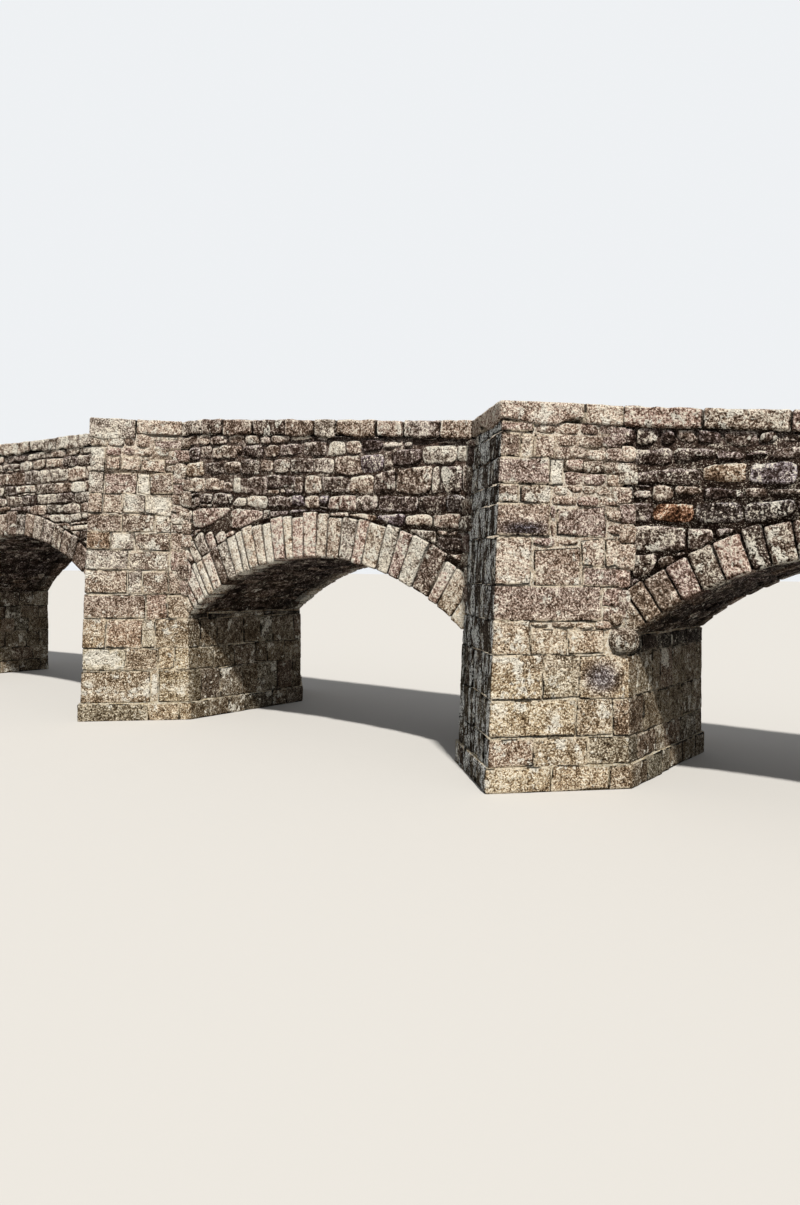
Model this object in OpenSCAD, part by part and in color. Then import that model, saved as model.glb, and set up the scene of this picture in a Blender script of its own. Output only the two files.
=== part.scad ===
// Packhorse bridge of granite: three segmental arches on two piers with
// pointed cutwaters that rise into refuges, a sloping way and low parapets.
// Millimetres. X runs along the way, the near face looks towards -Y, and
// Z = 0 is the low-water level that the masonry stands on.

/* [Arches] */
// Clear span of the left arch
span_left = 6600; // [6000:50:6900]
// Clear span of the middle arch
span_middle = 6000; // [5400:50:6400]
// Clear span of the right arch
span_right = 5950; // [5400:50:6400]
// Springing level of the left arch
spring_left = 2150; // [1900:10:2300]
// Springing level of the middle arch
spring_middle = 1980; // [1800:10:2150]
// Springing level of the right arch
spring_right = 2020; // [1800:10:2150]
// Level of the left arch's crown, at its underside
crown_left = 3530; // [3350:10:3650]
// Level of the middle arch's crown, at its underside
crown_middle = 3060; // [2950:10:3250]
// Level of the right arch's crown, at its underside
crown_right = 3150; // [3000:10:3220]

/* [Voussoirs] */
// Depth of the left arch's ring, measured along the radius
ring_left = 500; // [440:10:600]
// Depth of the middle arch's ring
ring_middle = 715; // [600:10:780]
// Depth of the right arch's ring
ring_right = 500; // [440:10:530]
// Number of stones in the left ring
stones_left = 23; // [15:1:31]
// Number of stones in the middle ring
stones_middle = 29; // [17:1:39]
// Number of stones in the right ring
stones_right = 22; // [13:1:27]
// Open joint between two voussoirs
joint = 8; // [4:1:14]
// How far a voussoir's depth strays from its ring's, as a share
depth_stray = 0.08; // [0:0.01:0.1]
// How far a bed strays from even spacing, as a share of a stone's width
bed_stray = 0.22; // [0:0.01:0.3]
// How much wider the middle ring's stones grow from left to right, as a share
bed_drift = 0.3; // [0:0.05:0.4]
// Depth of the rubble vault behind the rings
vault_depth = 420; // [350:10:480]

/* [Piers] */
// Width of a pier along the way, at the springing
pier_w = 2610; // [2400:10:2800]
// How much wider a pier's side stands at the water than at the springing
pier_batter = 40; // [0:5:60]
// Height of the plinth course
plinth_h = 330; // [250:10:400]
// How far the plinth course stands out
plinth_step = 35; // [20:5:60]
// How far a cutwater's nose stands out of the wall at the water
nose_out = 1460; // [1300:10:1600]
// Lean of the nose, as run over rise
nose_batter = 0.046; // [0.02:0.001:0.06]
// Half width of a cutwater for each unit of its projection
nose_splay = 0.94; // [0.88:0.01:0.96]

/* [Walls and way] */
// Overall length of the bridge
length = 29400; // [28800:100:31000]
// Overall width, over both faces
width = 3140; // [2900:20:3400]
// Thickness of spandrel walls and parapets
wall_t = 450; // [380:10:500]
// Thickness of a refuge's parapet
refuge_t = 360; // [300:10:400]
// Thickness of the paved way
way_t = 150; // [100:5:180]
// How far a bay's wall runs past its ring before the approach wall
wall_past_ring = 300; // [200:10:500]

/* [Levels] */
// Parapet top along the crest, over the left pier
top_crest = 5600; // [5450:10:5700]
// Parapet top over the right pier
top_right_pier = 5090; // [4980:10:5200]
// Parapet top at the left end
top_left_end = 5100; // [4950:10:5200]
// Parapet top at the right end
top_right_end = 4050; // [4000:10:4250]
// Crest's run to the left of the left pier's middle
crest_run_left = 5100; // [4400:50:5400]
// Crest's run to the right of the left pier's middle
crest_run_right = 1650; // [1500:10:1900]
// Height of the parapet above the way, along the crest
parapet_h = 1120; // [1000:10:1180]
// Height of the parapet above the way, over the right pier
parapet_h_right = 890; // [800:10:960]
// Height of the parapet above the way, at both ends
parapet_h_end = 760; // [700:10:820]

/* [Coping] */
// Height of a coping stone
coping_t = 270; // [200:10:300]
// How far the coping overhangs the wall on each side
coping_over = 25; // [10:5:40]
// Usual length of a coping stone on the left bay
coping_len_left = 1050; // [800:10:1400]
// Usual length of a coping stone on the middle bay
coping_len_middle = 680; // [500:10:1000]
// Usual length of a coping stone on the right bay
coping_len_right = 1150; // [800:10:1400]
// Where the left refuges' coping is jointed, as a share of its projection
split_left = 0.52; // [0.3:0.01:0.6]
// Where the right refuges' coping is jointed
split_right = 0.34; // [0.3:0.01:0.6]
// Radius of the worn upper edges
coping_round = 60; // [30:5:90]

/* [Hidden] */
granite = "#8f8678";
granite_dark = "#6f675c";
granite_pale = "#a49b8b";
rubble = "#756b5f";
earth = "#6b6256";
facets = 180;
half_length = length / 2;
face = width / 2;
inner = face - wall_t;

// An arch is [left x, right x, springing z, crown z, ring depth, stones].
middle_right = span_middle / 2;
pier_right_end = middle_right + pier_w;
ARCHES = [
    [-pier_right_end - span_left, -pier_right_end, spring_left,
        crown_left, ring_left, stones_left],
    [-middle_right, middle_right, spring_middle,
        crown_middle, ring_middle, stones_middle],
    [pier_right_end, pier_right_end + span_right, spring_right,
        crown_right, ring_right, stones_right]
];
function half_span(a) = (a[1] - a[0]) / 2;
function rise(a) = a[3] - a[2];
function radius(a) = (half_span(a) ^ 2 + rise(a) ^ 2) / (2 * rise(a));
function centre(a) = [(a[0] + a[1]) / 2, a[3] - radius(a)];
function half_angle(a) = asin(half_span(a) / radius(a));
function on_arch(a, r, turn) = centre(a) + r * [sin(turn), cos(turn)];

// Beds and depths of a ring's stones: uneven, but the same on each build.
function strays(n, seed) = rands(-1, 1, n, seed);
function drift(a) = a == ARCHES[1] ? bed_drift : 0;
function beds(a, seed) =
    let (n = a[5], s = strays(n + 1, seed), w = 2 * half_angle(a) / n)
    [for (i = [0:n])
        -half_angle(a) + w * (i + drift(a) * i * (i / n - 1)
            + (i == 0 || i == n ? 0 : bed_stray * s[i]))];
function depths(a, seed) =
    let (s = strays(a[5], seed + 50))
    [for (i = [0:a[5] - 1])
        i == 0 || i == a[5] - 1 ? a[4] : a[4] * (1 + depth_stray * s[i])];
function half_joint(a) = asin(joint / 2 / radius(a));

// A voussoir's two beds as angles, closed up against the skewbacks.
function stone_turns(a, i, b) = [
    b[i] + (i == 0 ? 0 : half_joint(a)),
    b[i + 1] - (i == a[5] - 1 ? 0 : half_joint(a))
];
function ring_back(a, seed) =
    let (b = beds(a, seed), d = depths(a, seed))
    [for (i = [0:a[5] - 1]) each [for (turn = stone_turns(a, i, b))
        on_arch(a, radius(a) + d[i], turn)]];
function skew_left(a) = on_arch(a, radius(a) + a[4], -half_angle(a));
function skew_right(a) = on_arch(a, radius(a) + a[4], half_angle(a));
function ring_seed(bay, side) = 11 + 7 * bay + 3 * side;

// Piers stand between two arches.
function pier_x(p) = (ARCHES[p][1] + ARCHES[p + 1][0]) / 2;

// Plan of a cutwater at a level, in front of the wall's face.
function nose(z) = nose_out - nose_batter * z;
splay_slant = sqrt(1 + 1 / nose_splay ^ 2);
function top_at(p) = p == 0 ? top_crest : top_right_pier;
function floor_at(p) = p == 0 ? top_crest - parapet_h
    : top_right_pier - parapet_h_right;
function refuge_in(p) = nose(top_at(p) - coping_t) - refuge_t * splay_slant;
function mouth(p) = nose_splay * refuge_in(p);

// Lines of the parapet's top and of the way, from left to right.
flat_half = nose_splay * nose(top_right_pier);
STATIONS = [-half_length, pier_x(0) - crest_run_left,
    pier_x(0) + crest_run_right, pier_x(1) - flat_half,
    pier_x(1) + flat_half, half_length];
TOPS = [top_left_end, top_crest, top_crest, top_right_pier,
    top_right_pier, top_right_end];
PARAPETS = [parapet_h_end, parapet_h, parapet_h, parapet_h_right,
    parapet_h_right, parapet_h_end];
top_line = [for (i = [0:5]) [STATIONS[i], TOPS[i]]];
way_line = [for (i = [0:5]) [STATIONS[i], TOPS[i] - PARAPETS[i]]];
function top_z(x) = lookup(x, top_line);
function way_z(x) = lookup(x, way_line);
function between(line, a, b) =
    concat([[a, lookup(a, line)]],
        [for (s = line) if (s[0] > a && s[0] < b) s],
        [[b, lookup(b, line)]]);
function lowered(line, drop) = [for (s = line) [s[0], s[1] - drop]];
function turned(list) = [for (i = [len(list) - 1:-1:0]) list[i]];

// Ends of each bay's wall and of its parapet.
wall_from = [skew_left(ARCHES[0])[0] - wall_past_ring, pier_x(0), pier_x(1)];
wall_to = [pier_x(0), pier_x(1), skew_right(ARCHES[2])[0] + wall_past_ring];
parapet_from = [wall_from[0], pier_x(0) + mouth(0), pier_x(1) + mouth(1)];
parapet_to = [pier_x(0) - mouth(0), pier_x(1) - mouth(1), wall_to[2]];
coping_from = [-half_length, parapet_from[1], parapet_from[2]];
coping_to = [parapet_to[0], parapet_to[1], half_length];

// Extrudes an outline drawn in x and z from y = a to y = b.
module across(a, b) {
    translate([0, b, 0])
        rotate([90, 0, 0])
            linear_extrude(b - a)
                children();
}

// Puts a piece drawn for the front on its own side: 0 front, 1 rear.
module on_side(side) {
    mirror([0, side, 0])
        children();
}

// Pier body up to the two skewbacks, on its plinth course.
module pier(p) {
    left = ARCHES[p];
    right = ARCHES[p + 1];
    foot_l = left[1] - pier_batter;
    foot_r = right[0] + pier_batter;
    color(granite)
        across(-face, face)
            polygon([
                [foot_l - plinth_step, 0], [foot_r + plinth_step, 0],
                [foot_r + plinth_step, plinth_h], [foot_r, plinth_h],
                [right[0], right[2]], skew_left(right), skew_right(left),
                [left[1], left[2]], [foot_l, plinth_h],
                [foot_l - plinth_step, plinth_h]
            ]);
}

// Abutment from the river face to the bridge's end: 0 left, 1 right.
module abutment(end) {
    a = end == 0 ? ARCHES[0] : ARCHES[2];
    river = end == 0 ? a[0] : a[1];
    skew = end == 0 ? skew_left(a) : skew_right(a);
    back = end == 0 ? -half_length : half_length;
    color(granite)
        across(-face, face)
            polygon([[back, 0], [river, 0], [river, a[2]], skew,
                [back, skew[1]]]);
}

// Rubble vault between the two rings, a true segment of a cylinder.
module vault(bay) {
    a = ARCHES[bay];
    reach = 2 * radius(a);
    half = half_angle(a);
    color(granite_dark)
        across(-inner, inner)
            intersection() {
                difference() {
                    translate(centre(a))
                        circle(r = radius(a) + vault_depth, $fn = facets);
                    translate(centre(a))
                        circle(r = radius(a), $fn = facets);
                }
                polygon([centre(a), on_arch(a, reach, -half),
                    on_arch(a, reach, 0), on_arch(a, reach, half)]);
            }
}

// Ring of separate wedge-cut voussoirs on one face.
module ring(bay, side) {
    a = ARCHES[bay];
    seed = ring_seed(bay, side);
    b = beds(a, seed);
    d = depths(a, seed);
    color(granite_pale)
        on_side(side)
            for (i = [0:a[5] - 1]) {
                turns = stone_turns(a, i, b);
                across(-face, -inner)
                    polygon([
                        on_arch(a, radius(a), turns[0]),
                        on_arch(a, radius(a), turns[1]),
                        on_arch(a, radius(a) + d[i], turns[1]),
                        on_arch(a, radius(a) + d[i], turns[0])
                    ]);
            }
}

// Spandrel wall and parapet of one bay, seated on the backs of the stones.
module wall(bay, side) {
    a = ARCHES[bay];
    line = lowered(between(top_line, parapet_from[bay], parapet_to[bay]),
        coping_t);
    left_foot = bay == 0
        ? [wall_from[0], skew_left(a)[1]]
        : [wall_from[bay], pier_top(bay - 1)];
    right_foot = bay == 2
        ? [wall_to[2], skew_right(a)[1]]
        : [wall_to[bay], pier_top(bay)];
    left_step = bay == 0 ? []
        : [[parapet_from[bay], floor_at(bay - 1)],
            [wall_from[bay], floor_at(bay - 1)]];
    right_step = bay == 2 ? []
        : [[wall_to[bay], floor_at(bay)], [parapet_to[bay], floor_at(bay)]];
    color(rubble)
        on_side(side)
            across(-face, -inner)
                polygon(concat([left_foot],
                    ring_back(a, ring_seed(bay, side)),
                    [right_foot], right_step, turned(line), left_step));
}

// Level of a pier's top bed at its middle, between its skewbacks.
function pier_top(p) =
    let (l = skew_right(ARCHES[p]), r = skew_left(ARCHES[p + 1]))
    l[1] + (r[1] - l[1]) * (pier_x(p) - l[0]) / (r[0] - l[0]);

// Approach wall on an abutment: end 0 left, 1 right.
module approach(end, side) {
    a = end == 0 ? -half_length : wall_to[2];
    b = end == 0 ? wall_from[0] : half_length;
    bed = end == 0 ? skew_left(ARCHES[0])[1] : skew_right(ARCHES[2])[1];
    line = lowered(between(top_line, a, b), coping_t);
    color(rubble)
        on_side(side)
            across(-face, -inner)
                polygon(concat([[a, bed], [b, bed]], turned(line)));
}

// Solid wedge with the cutwater's lean, from level a to level b.
module leaning_wedge(a, b) {
    low = nose(a);
    high = nose(b);
    polyhedron(
        points = [
            [-nose_splay * low, 0, a], [nose_splay * low, 0, a],
            [0, -low, a],
            [-nose_splay * high, 0, b], [nose_splay * high, 0, b],
            [0, -high, b]
        ],
        faces = [[2, 1, 0], [3, 4, 5], [4, 3, 0, 1], [5, 4, 1, 2],
            [3, 5, 2, 0]]
    );
}

// Pointed plan with its nose at a given projection.
module point_plan(out) {
    polygon([[-nose_splay * out, 0], [0, -out], [nose_splay * out, 0]]);
}

// Moves a piece drawn against y = 0 to a pier and a side.
module at_pier(p, side) {
    on_side(side)
        translate([pier_x(p), -face, 0])
            children();
}

// Cutwater of coursed blocks up to the refuge's floor, on its plinth.
module cutwater(p, side) {
    color(granite)
        at_pier(p, side) {
            leaning_wedge(0, floor_at(p));
            linear_extrude(plinth_h)
                point_plan(nose(0) + plinth_step * splay_slant);
        }
}

// Refuge parapet that follows the cutwater's point.
module refuge(p, side) {
    low = floor_at(p);
    high = top_at(p) - coping_t;
    color(granite)
        at_pier(p, side)
            difference() {
                leaning_wedge(low, high);
                translate([0, 1, low - 1])
                    linear_extrude(high - low + 2)
                        point_plan(refuge_in(p) + 1);
            }
}

// Coping of a refuge: a nose stone and one stone on each leg.
module refuge_coping(p, side) {
    out = nose(top_at(p) - coping_t) + coping_over * splay_slant;
    in = refuge_in(p) - coping_over * splay_slant;
    split = out * (p == 0 ? split_left : split_right);
    color(granite_pale)
        at_pier(p, side)
            translate([0, 0, top_at(p) - coping_t])
                difference() {
                    linear_extrude(coping_t)
                        difference() {
                            point_plan(out);
                            point_plan(in);
                            translate([-out, -coping_over])
                                square([2 * out, 2 * coping_over]);
                        }
                    translate([-out, -split, -1])
                        cube([2 * out, joint, coping_t + 2]);
                }
}

// Cross section of the coping, with worn upper edges and a deep root.
module coping_profile(rise) {
    half = wall_t / 2 + coping_over;
    r = coping_round;
    polygon(concat(
        [[-half, -coping_t], [half, -coping_t]],
        [for (t = [0:30:90]) [half - r + r * cos(t), rise - r + r * sin(t)]],
        [for (t = [90:30:180]) [-half + r + r * cos(t),
            rise - r + r * sin(t)]]
    ));
}

// One coping stone from x = a to x = b on a straight stretch of wall.
module coping_stone(a, b, rise) {
    lean = atan2(top_z(b) - top_z(a), b - a);
    foot = [for (x = [a, b]) [x, top_z(x) - coping_t]];
    mid = (a + b) / 2;
    intersection() {
        across(-wall_t, wall_t)
            polygon([foot[0], foot[1], foot[1] + [0, 2 * coping_t],
                foot[0] + [0, 2 * coping_t]]);
        translate([mid, 0, top_z(mid) - coping_t])
            rotate([0, -lean, 0])
                rotate([90, 0, 90])
                    linear_extrude(2 * (b - a), center = true)
                        coping_profile(rise);
    }
}

// Parapet coping of one bay, stone by stone on each straight stretch.
module coping(bay, side) {
    line = between(top_line, coping_from[bay], coping_to[bay]);
    usual = [coping_len_left, coping_len_middle, coping_len_right][bay];
    heights = strays(99, 70 + 10 * bay + side);
    color(granite_pale)
        on_side(side)
            translate([0, -face + wall_t / 2, 0])
                for (s = [0:len(line) - 2]) {
                    run = line[s + 1][0] - line[s][0];
                    n = max(1, round(run / usual));
                    at = [for (i = [0:n]) line[s][0] + run / n * (i
                        + (i == 0 || i == n ? 0 : 0.22 * heights[98 - i]))];
                    for (i = [0:n - 1])
                        coping_stone(
                            at[i] + (s + i == 0 ? 0 : joint / 2),
                            at[i + 1] - (s == len(line) - 2 && i == n - 1
                                ? 0 : joint / 2),
                            coping_t - 8 + 8 * heights[10 * s + i]);
                }
}

// Fill of earth and stone between the walls, bedded on the vaults' backs.
module core_fill() {
    under = concat(
        [[-half_length, skew_left(ARCHES[0])[1]]],
        [for (a = ARCHES) each [skew_left(a),
            on_arch(a, radius(a) + vault_depth, -half_angle(a)),
            on_arch(a, radius(a) + vault_depth, half_angle(a)),
            skew_right(a)]],
        [[half_length, skew_right(ARCHES[2])[1]]]);
    color(earth)
        across(-inner, inner)
            difference() {
                polygon(concat(under, turned(lowered(way_line, way_t))));
                for (a = ARCHES)
                    translate(centre(a))
                        circle(r = radius(a) + vault_depth, $fn = facets);
            }
}

// Paved way between the parapets.
module roadway() {
    color(granite_dark)
        across(-inner, inner)
            polygon(concat(lowered(way_line, way_t), turned(way_line)));
}

pier(0);  // pier_left
pier(1);  // pier_right
abutment(0);  // abutment_left
abutment(1);  // abutment_right
vault(0);  // vault_left
vault(1);  // vault_middle
vault(2);  // vault_right
ring(0, 0);  // ring_left_front
ring(0, 1);  // ring_left_rear
ring(1, 0);  // ring_middle_front
ring(1, 1);  // ring_middle_rear
ring(2, 0);  // ring_right_front
ring(2, 1);  // ring_right_rear
wall(0, 0);  // wall_left_front
wall(0, 1);  // wall_left_rear
wall(1, 0);  // wall_middle_front
wall(1, 1);  // wall_middle_rear
wall(2, 0);  // wall_right_front
wall(2, 1);  // wall_right_rear
approach(0, 0);  // approach_left_front
approach(0, 1);  // approach_left_rear
approach(1, 0);  // approach_right_front
approach(1, 1);  // approach_right_rear
cutwater(0, 0);  // cutwater_left_front
cutwater(0, 1);  // cutwater_left_rear
cutwater(1, 0);  // cutwater_right_front
cutwater(1, 1);  // cutwater_right_rear
refuge(0, 0);  // refuge_left_front
refuge(0, 1);  // refuge_left_rear
refuge(1, 0);  // refuge_right_front
refuge(1, 1);  // refuge_right_rear
refuge_coping(0, 0);  // refuge_coping_left_front
refuge_coping(0, 1);  // refuge_coping_left_rear
refuge_coping(1, 0);  // refuge_coping_right_front
refuge_coping(1, 1);  // refuge_coping_right_rear
coping(0, 0);  // coping_left_front
coping(0, 1);  // coping_left_rear
coping(1, 0);  // coping_middle_front
coping(1, 1);  // coping_middle_rear
coping(2, 0);  // coping_right_front
coping(2, 1);  // coping_right_rear
core_fill();
roadway();
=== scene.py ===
# Packhorse bridge of granite. Every stone that shows is modelled by itself and laid
# on mortar backings that follow the frame's solids. Metres, Z up, X along the way.
import math

import bmesh
import bpy
import numpy as np
from mathutils import Matrix, Vector
from mathutils.geometry import delaunay_2d_cdt


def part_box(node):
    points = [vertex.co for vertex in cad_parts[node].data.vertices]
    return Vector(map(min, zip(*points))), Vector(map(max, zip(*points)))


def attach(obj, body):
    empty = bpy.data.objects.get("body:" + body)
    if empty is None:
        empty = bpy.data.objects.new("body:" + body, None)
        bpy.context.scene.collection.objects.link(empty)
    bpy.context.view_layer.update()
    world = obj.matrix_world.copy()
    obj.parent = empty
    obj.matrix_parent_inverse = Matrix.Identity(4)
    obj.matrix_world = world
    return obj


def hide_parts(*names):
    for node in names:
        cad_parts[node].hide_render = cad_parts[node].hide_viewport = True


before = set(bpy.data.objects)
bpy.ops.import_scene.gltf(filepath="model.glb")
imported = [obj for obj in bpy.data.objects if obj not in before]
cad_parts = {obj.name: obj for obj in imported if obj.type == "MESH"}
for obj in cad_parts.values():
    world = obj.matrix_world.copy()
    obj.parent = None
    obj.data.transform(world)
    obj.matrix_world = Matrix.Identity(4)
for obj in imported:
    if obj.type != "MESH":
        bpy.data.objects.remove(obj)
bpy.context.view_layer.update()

FRONT, REAR = -1, 1
SIDES = {"front": FRONT, "rear": REAR}
BAYS = ("left", "middle", "right")

# Camera: its place, its turn in degrees, and its lens.
CAMERA_AT = (10.036, -13.106, 2.876)
CAMERA_YAW, CAMERA_PITCH, CAMERA_ROLL = -35.33, -2.095, 0.78
CAMERA_LENS, CAMERA_SENSOR = 26.98, 36.0

# Light: a soft sun from the right, in front and above, and an even sky.
SUN_FROM = (0.47, -0.45, 0.76)
SUN_STRENGTH, SUN_SPREAD, SUN_COLOUR = 5.4, math.radians(2.5), (1.0, 0.965, 0.91)
SKY_STRENGTH, SKY_LIGHT, SKY_SEEN = 0.42, (0.97, 0.98, 1.0, 1), (0.86, 0.88, 0.90, 1)
FLOOR_SIZE, FLOOR_COLOUR = 400.0, (0.50, 0.49, 0.47, 1)

# Where each pattern's random numbers start.
SEEDS = {"pieces": 101, "left pier": 31, "right pier": 37, "left abutment": 43,
         "right abutment": 47, "corners": 61, "fan": 71, "walls": 201, "insides": 301,
         "floors": 401, "ends": 501}

# Colours of the stone itself, at its middle tone.
TAN = (0.29, 0.22, 0.160)
FAWN = (0.40, 0.314, 0.232)
ROSE = (0.28, 0.200, 0.155)
PLUM_TAN = (0.27, 0.205, 0.162)
PINK = (0.42, 0.31, 0.25)
GREY = (0.25, 0.210, 0.165)
ASH = (0.36, 0.315, 0.250)
CREAM = (0.58, 0.475, 0.355)
BROWN = (0.185, 0.137, 0.098)
DUN = (0.115, 0.086, 0.064)
UMBER = (0.075, 0.054, 0.041)
PLUM = (0.11, 0.083, 0.078)
OCHRE = (0.20, 0.138, 0.084)
RUST = (0.15, 0.076, 0.040)
SOOT = (0.055, 0.043, 0.034)
SLATE = (0.13, 0.105, 0.098)
INK = (0.065, 0.052, 0.053)

# A mix lists what share of the stones takes each colour.
ASHLAR_MIX = ((TAN, 6), (FAWN, 4), (ROSE, 1.5), (GREY, 1.5), (PLUM_TAN, 1.0))
LOOSE_MIX = ((TAN, 4), (BROWN, 2), (ROSE, 2), (PLUM_TAN, 2), (FAWN, 1))
RUBBLE_MIX = {"left": ((BROWN, 4), (DUN, 3), (TAN, 3), (GREY, 2), (FAWN, 1)),
              "middle": ((DUN, 5), (BROWN, 5), (TAN, 1.5), (GREY, 1.5), (UMBER, 2), (PLUM, 1)),
              "right": ((UMBER, 6), (DUN, 5), (BROWN, 2), (PLUM, 1.5), (GREY, 0.5))}
RING_MIX = {"left": ((GREY, 2), (TAN, 1), (BROWN, 7)),
            "middle": ((CREAM, 6), (PINK, 4), (TAN, 1.5), (BROWN, 1), (ASH, 4)),
            "right": ((BROWN, 6), (TAN, 2), (ROSE, 2), (DUN, 1))}
COPING_MIX = {"left": ((FAWN, 4), (ASH, 3), (TAN, 3), (GREY, 1)),
              "middle": ((TAN, 3), (GREY, 3), (BROWN, 4), (ASH, 0.7)),
              "right": ((FAWN, 4), (ASH, 3), (TAN, 2), (ROSE, 1))}
# The soffit mix is darkened as painted shade under the arches.
SHADED_SOFFIT_MIX = ((UMBER, 3), (DUN, 4), (BROWN, 1))
# The pier sides under the arches take a darker mix: painted shade.
SHADED_PIER_SIDE_MIX = ((BROWN, 2), (UMBER, 4), (SOOT, 4))
WAY_MIX = ((GREY, 5), (BROWN, 3), (TAN, 3), (ASH, 2))
MORTAR_PALE = (0.42, 0.34, 0.25)
# The brown and dark mortars are partly mortar's own colour and partly painted shade in the deep
# joints.
BROWN_MORTAR_AND_SHADE = (0.055, 0.037, 0.026)
DARK_MORTAR_AND_SHADE = (0.035, 0.023, 0.016)
# Colours that the weather lays over the stone.
SPECKS, LICHEN, STREAKS = (0.84, 0.77, 0.64), (0.84, 0.80, 0.70), (0.93, 0.95, 0.93)
SMEARS = (0.70, 0.60, 0.45)
# How much lichen the rings and copings carry.
RING_LICHEN = {"left": -0.3, "middle": 1.1, "right": 0.3}
COPING_LICHEN = {"left": 0.6, "middle": -0.3, "right": 1.1}

# Kinds of pieces, after the first word of their nodes.
DRESSED, RUBBLE = ("pier", "abutment", "cutwater", "refuge"), ("wall", "approach", "core")
# How far the mortar lies behind the stones' faces.
RECESS = {**dict.fromkeys(DRESSED, 0.028), **dict.fromkeys(RUBBLE, 0.046),
          "vault": 0.035, "roadway": 0.035}
# Bounds of a rough stone: its least area, and how far its face may lie back or out.
LEAST_AREA, FACE_BACK, FACE_OUT = 0.0014, 0.034, 0.010
# Usual length of a squared block, height of a course and of packing between courses.
BLOCK = {"pier": 0.57, "stub": 0.6, "abutment": 0.56, "top": 0.5}
COURSE_HEIGHT, PACKING_HEIGHT = 0.36, 0.17
# A closed course's first joint lies this far along it.
LOOP_START = (0.1, 0.9)
# Spacing of the points by which a rough course's beds are followed.
BED_STEP = 0.3
# Shares of a rough course's cells: with packing beside the stone, where the joints
# are drawn and where they are known, and with two thin stones.
PACKED, PACKED_IF_KNOWN, HALVED = 0.2, 0.12, 0.1
# Grime and painted shade of the faces that never get the sun, on the piers and on the abutments.
DARKEST, DIM = 0.9, 0.5
# All stone is warmed by this tint, and yellowed by silt below a level.
WARMTH, SILT_TOP, SILT_FADE = (1.02, 0.965, 1.01), 2.8, 1.4
# How far behind a face its patches reach.
PATCH_DEPTH = 0.12
# How far in from a dressed stone's edge its seam shows, with its painted joint shade.
SEAM_BAND = {**dict.fromkeys(DRESSED, 0.06), "coping": 0.05, "ring": 0.034}

# Bed levels of the two piers, from the water up to the coping.
BEDS = {"left": (0, 0.33, 0.93, 1.35, 1.89, 2.35, 2.79, 3.17, 3.50, 3.84, 4.21, 4.62, 5.07),
        "right": (0, 0.33, 0.70, 1.21, 1.79, 2.23, 2.69, 3.32, 3.75, 4.01, 4.35, 4.68)}
# Upright joints on each pier's near right face, course by course from the
# water, as distances from the nose.
JOINTS = {"left": ((1.26,), (1.24,), (0.77, 1.35), (0.40, 1.05, 1.6), (1.10, 1.5),
                   (0.75, 1.02, 1.5), (0.76, 1.5), (0.43, 0.86, 1.5), (0.62, 1.21, 1.5),
                   (0.26, 0.62, 1.02, 1.5), (0.27, 0.86, 1.09, 1.5), (0.27,), (0.3,)),
          "right": ((0.9,), (0.62, 1.3), (1.17,), (0.7, 1.19), (0.5,), (1.48,), (0.48,),
                    (0.72,), (0.28, 0.73), (0.68, 0.88), (0.27, 0.45, 0.76), (0.45,))}
# Smaller stones that fill the rest of a course there: from, to, bed, top and
# whether rough.
CELLS = {"left": {11: ((0.28, 0.55, 4.64, 4.88, 0), (0.56, 0.90, 4.63, 4.90, 0),
                       (0.91, 1.34, 4.62, 4.88, 0), (0.29, 0.80, 4.90, 5.06, 1),
                       (0.81, 1.10, 4.91, 5.06, 1), (1.35, 1.60, 4.63, 4.90, 1),
                       (1.12, 1.66, 4.91, 5.06, 1)),
                  12: ((0.32, 0.80, 5.08, 5.32, 1), (0.81, 1.10, 5.08, 5.32, 1),
                       (1.12, 1.66, 5.06, 5.27, 0))},
         "right": {4: ((0.51, 1.02, 1.79, 2.13, 0), (1.03, 1.56, 1.79, 2.12, 0),
                       (0.51, 1.12, 2.14, 2.22, 1), (1.13, 1.66, 2.13, 2.22, 1)),
                   5: ((1.50, 1.84, 2.44, 2.69, 1), (1.50, 1.84, 2.23, 2.43, 1)),
                   6: ((0.51, 1.15, 2.69, 3.20, 0), (0.51, 0.83, 3.22, 3.31, 1),
                       (0.84, 1.15, 3.21, 3.31, 1), (1.17, 1.50, 2.97, 3.32, 0),
                       (1.51, 1.80, 2.96, 3.32, 0), (1.17, 1.80, 2.70, 2.95, 0)),
                   7: ((0.73, 0.79, 3.33, 3.50, 1), (0.73, 0.79, 3.53, 3.73, 1),
                       (0.81, 1.50, 3.32, 3.73, 0), (1.51, 1.80, 3.34, 3.70, 1))}}
# Where rough small stones take over from squared ones, course by course.
ROUGH_FROM = {"left": {8: 1.5, 9: 1.5, 10: 1.5, 11: 1.61, 12: 1.67},
              "right": {8: 0.74, 9: 0.89, 10: 0.77, 11: 0.46}}
# Lichen of the near right faces.
NEAR_LICHEN = {"left": 0.55, "right": 0.45}
# Radius of the corners that a course turns.
CORNER_R = 0.03

# How much lower the nose's coping stone hangs, by distance from the nose.
NOSE_HANG = {"left": ((0.0, 0.13), (1.0, 0.13)),
             "right": ((0.0, -0.05), (0.25, 0.0), (0.5, 0.05), (0.75, 0.03), (1.0, -0.08))}

# The fan of slabs over the middle arch's left haunch: to this side of the
# crown, up to this level, and so far beyond the ring.
FAN_FROM, FAN_LEVEL, FAN_REACH = math.radians(18), 3.50, 0.42
# The rough walls start at this level between the abutments, and so far beyond the arches.
SPANDREL_FOOT, SKEWBACK = 2.3, 0.4

# How rough each kind of piece is: scale of the lumps and how far they stray.
WORN = ((7.0, 0.007), (19.0, 0.004))
CRAGGY = ((5.0, 0.013), (12.0, 0.011), (27.0, 0.006))
ROUGH = dict.fromkeys((*DRESSED, "ring", "roadway"), WORN)

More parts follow.
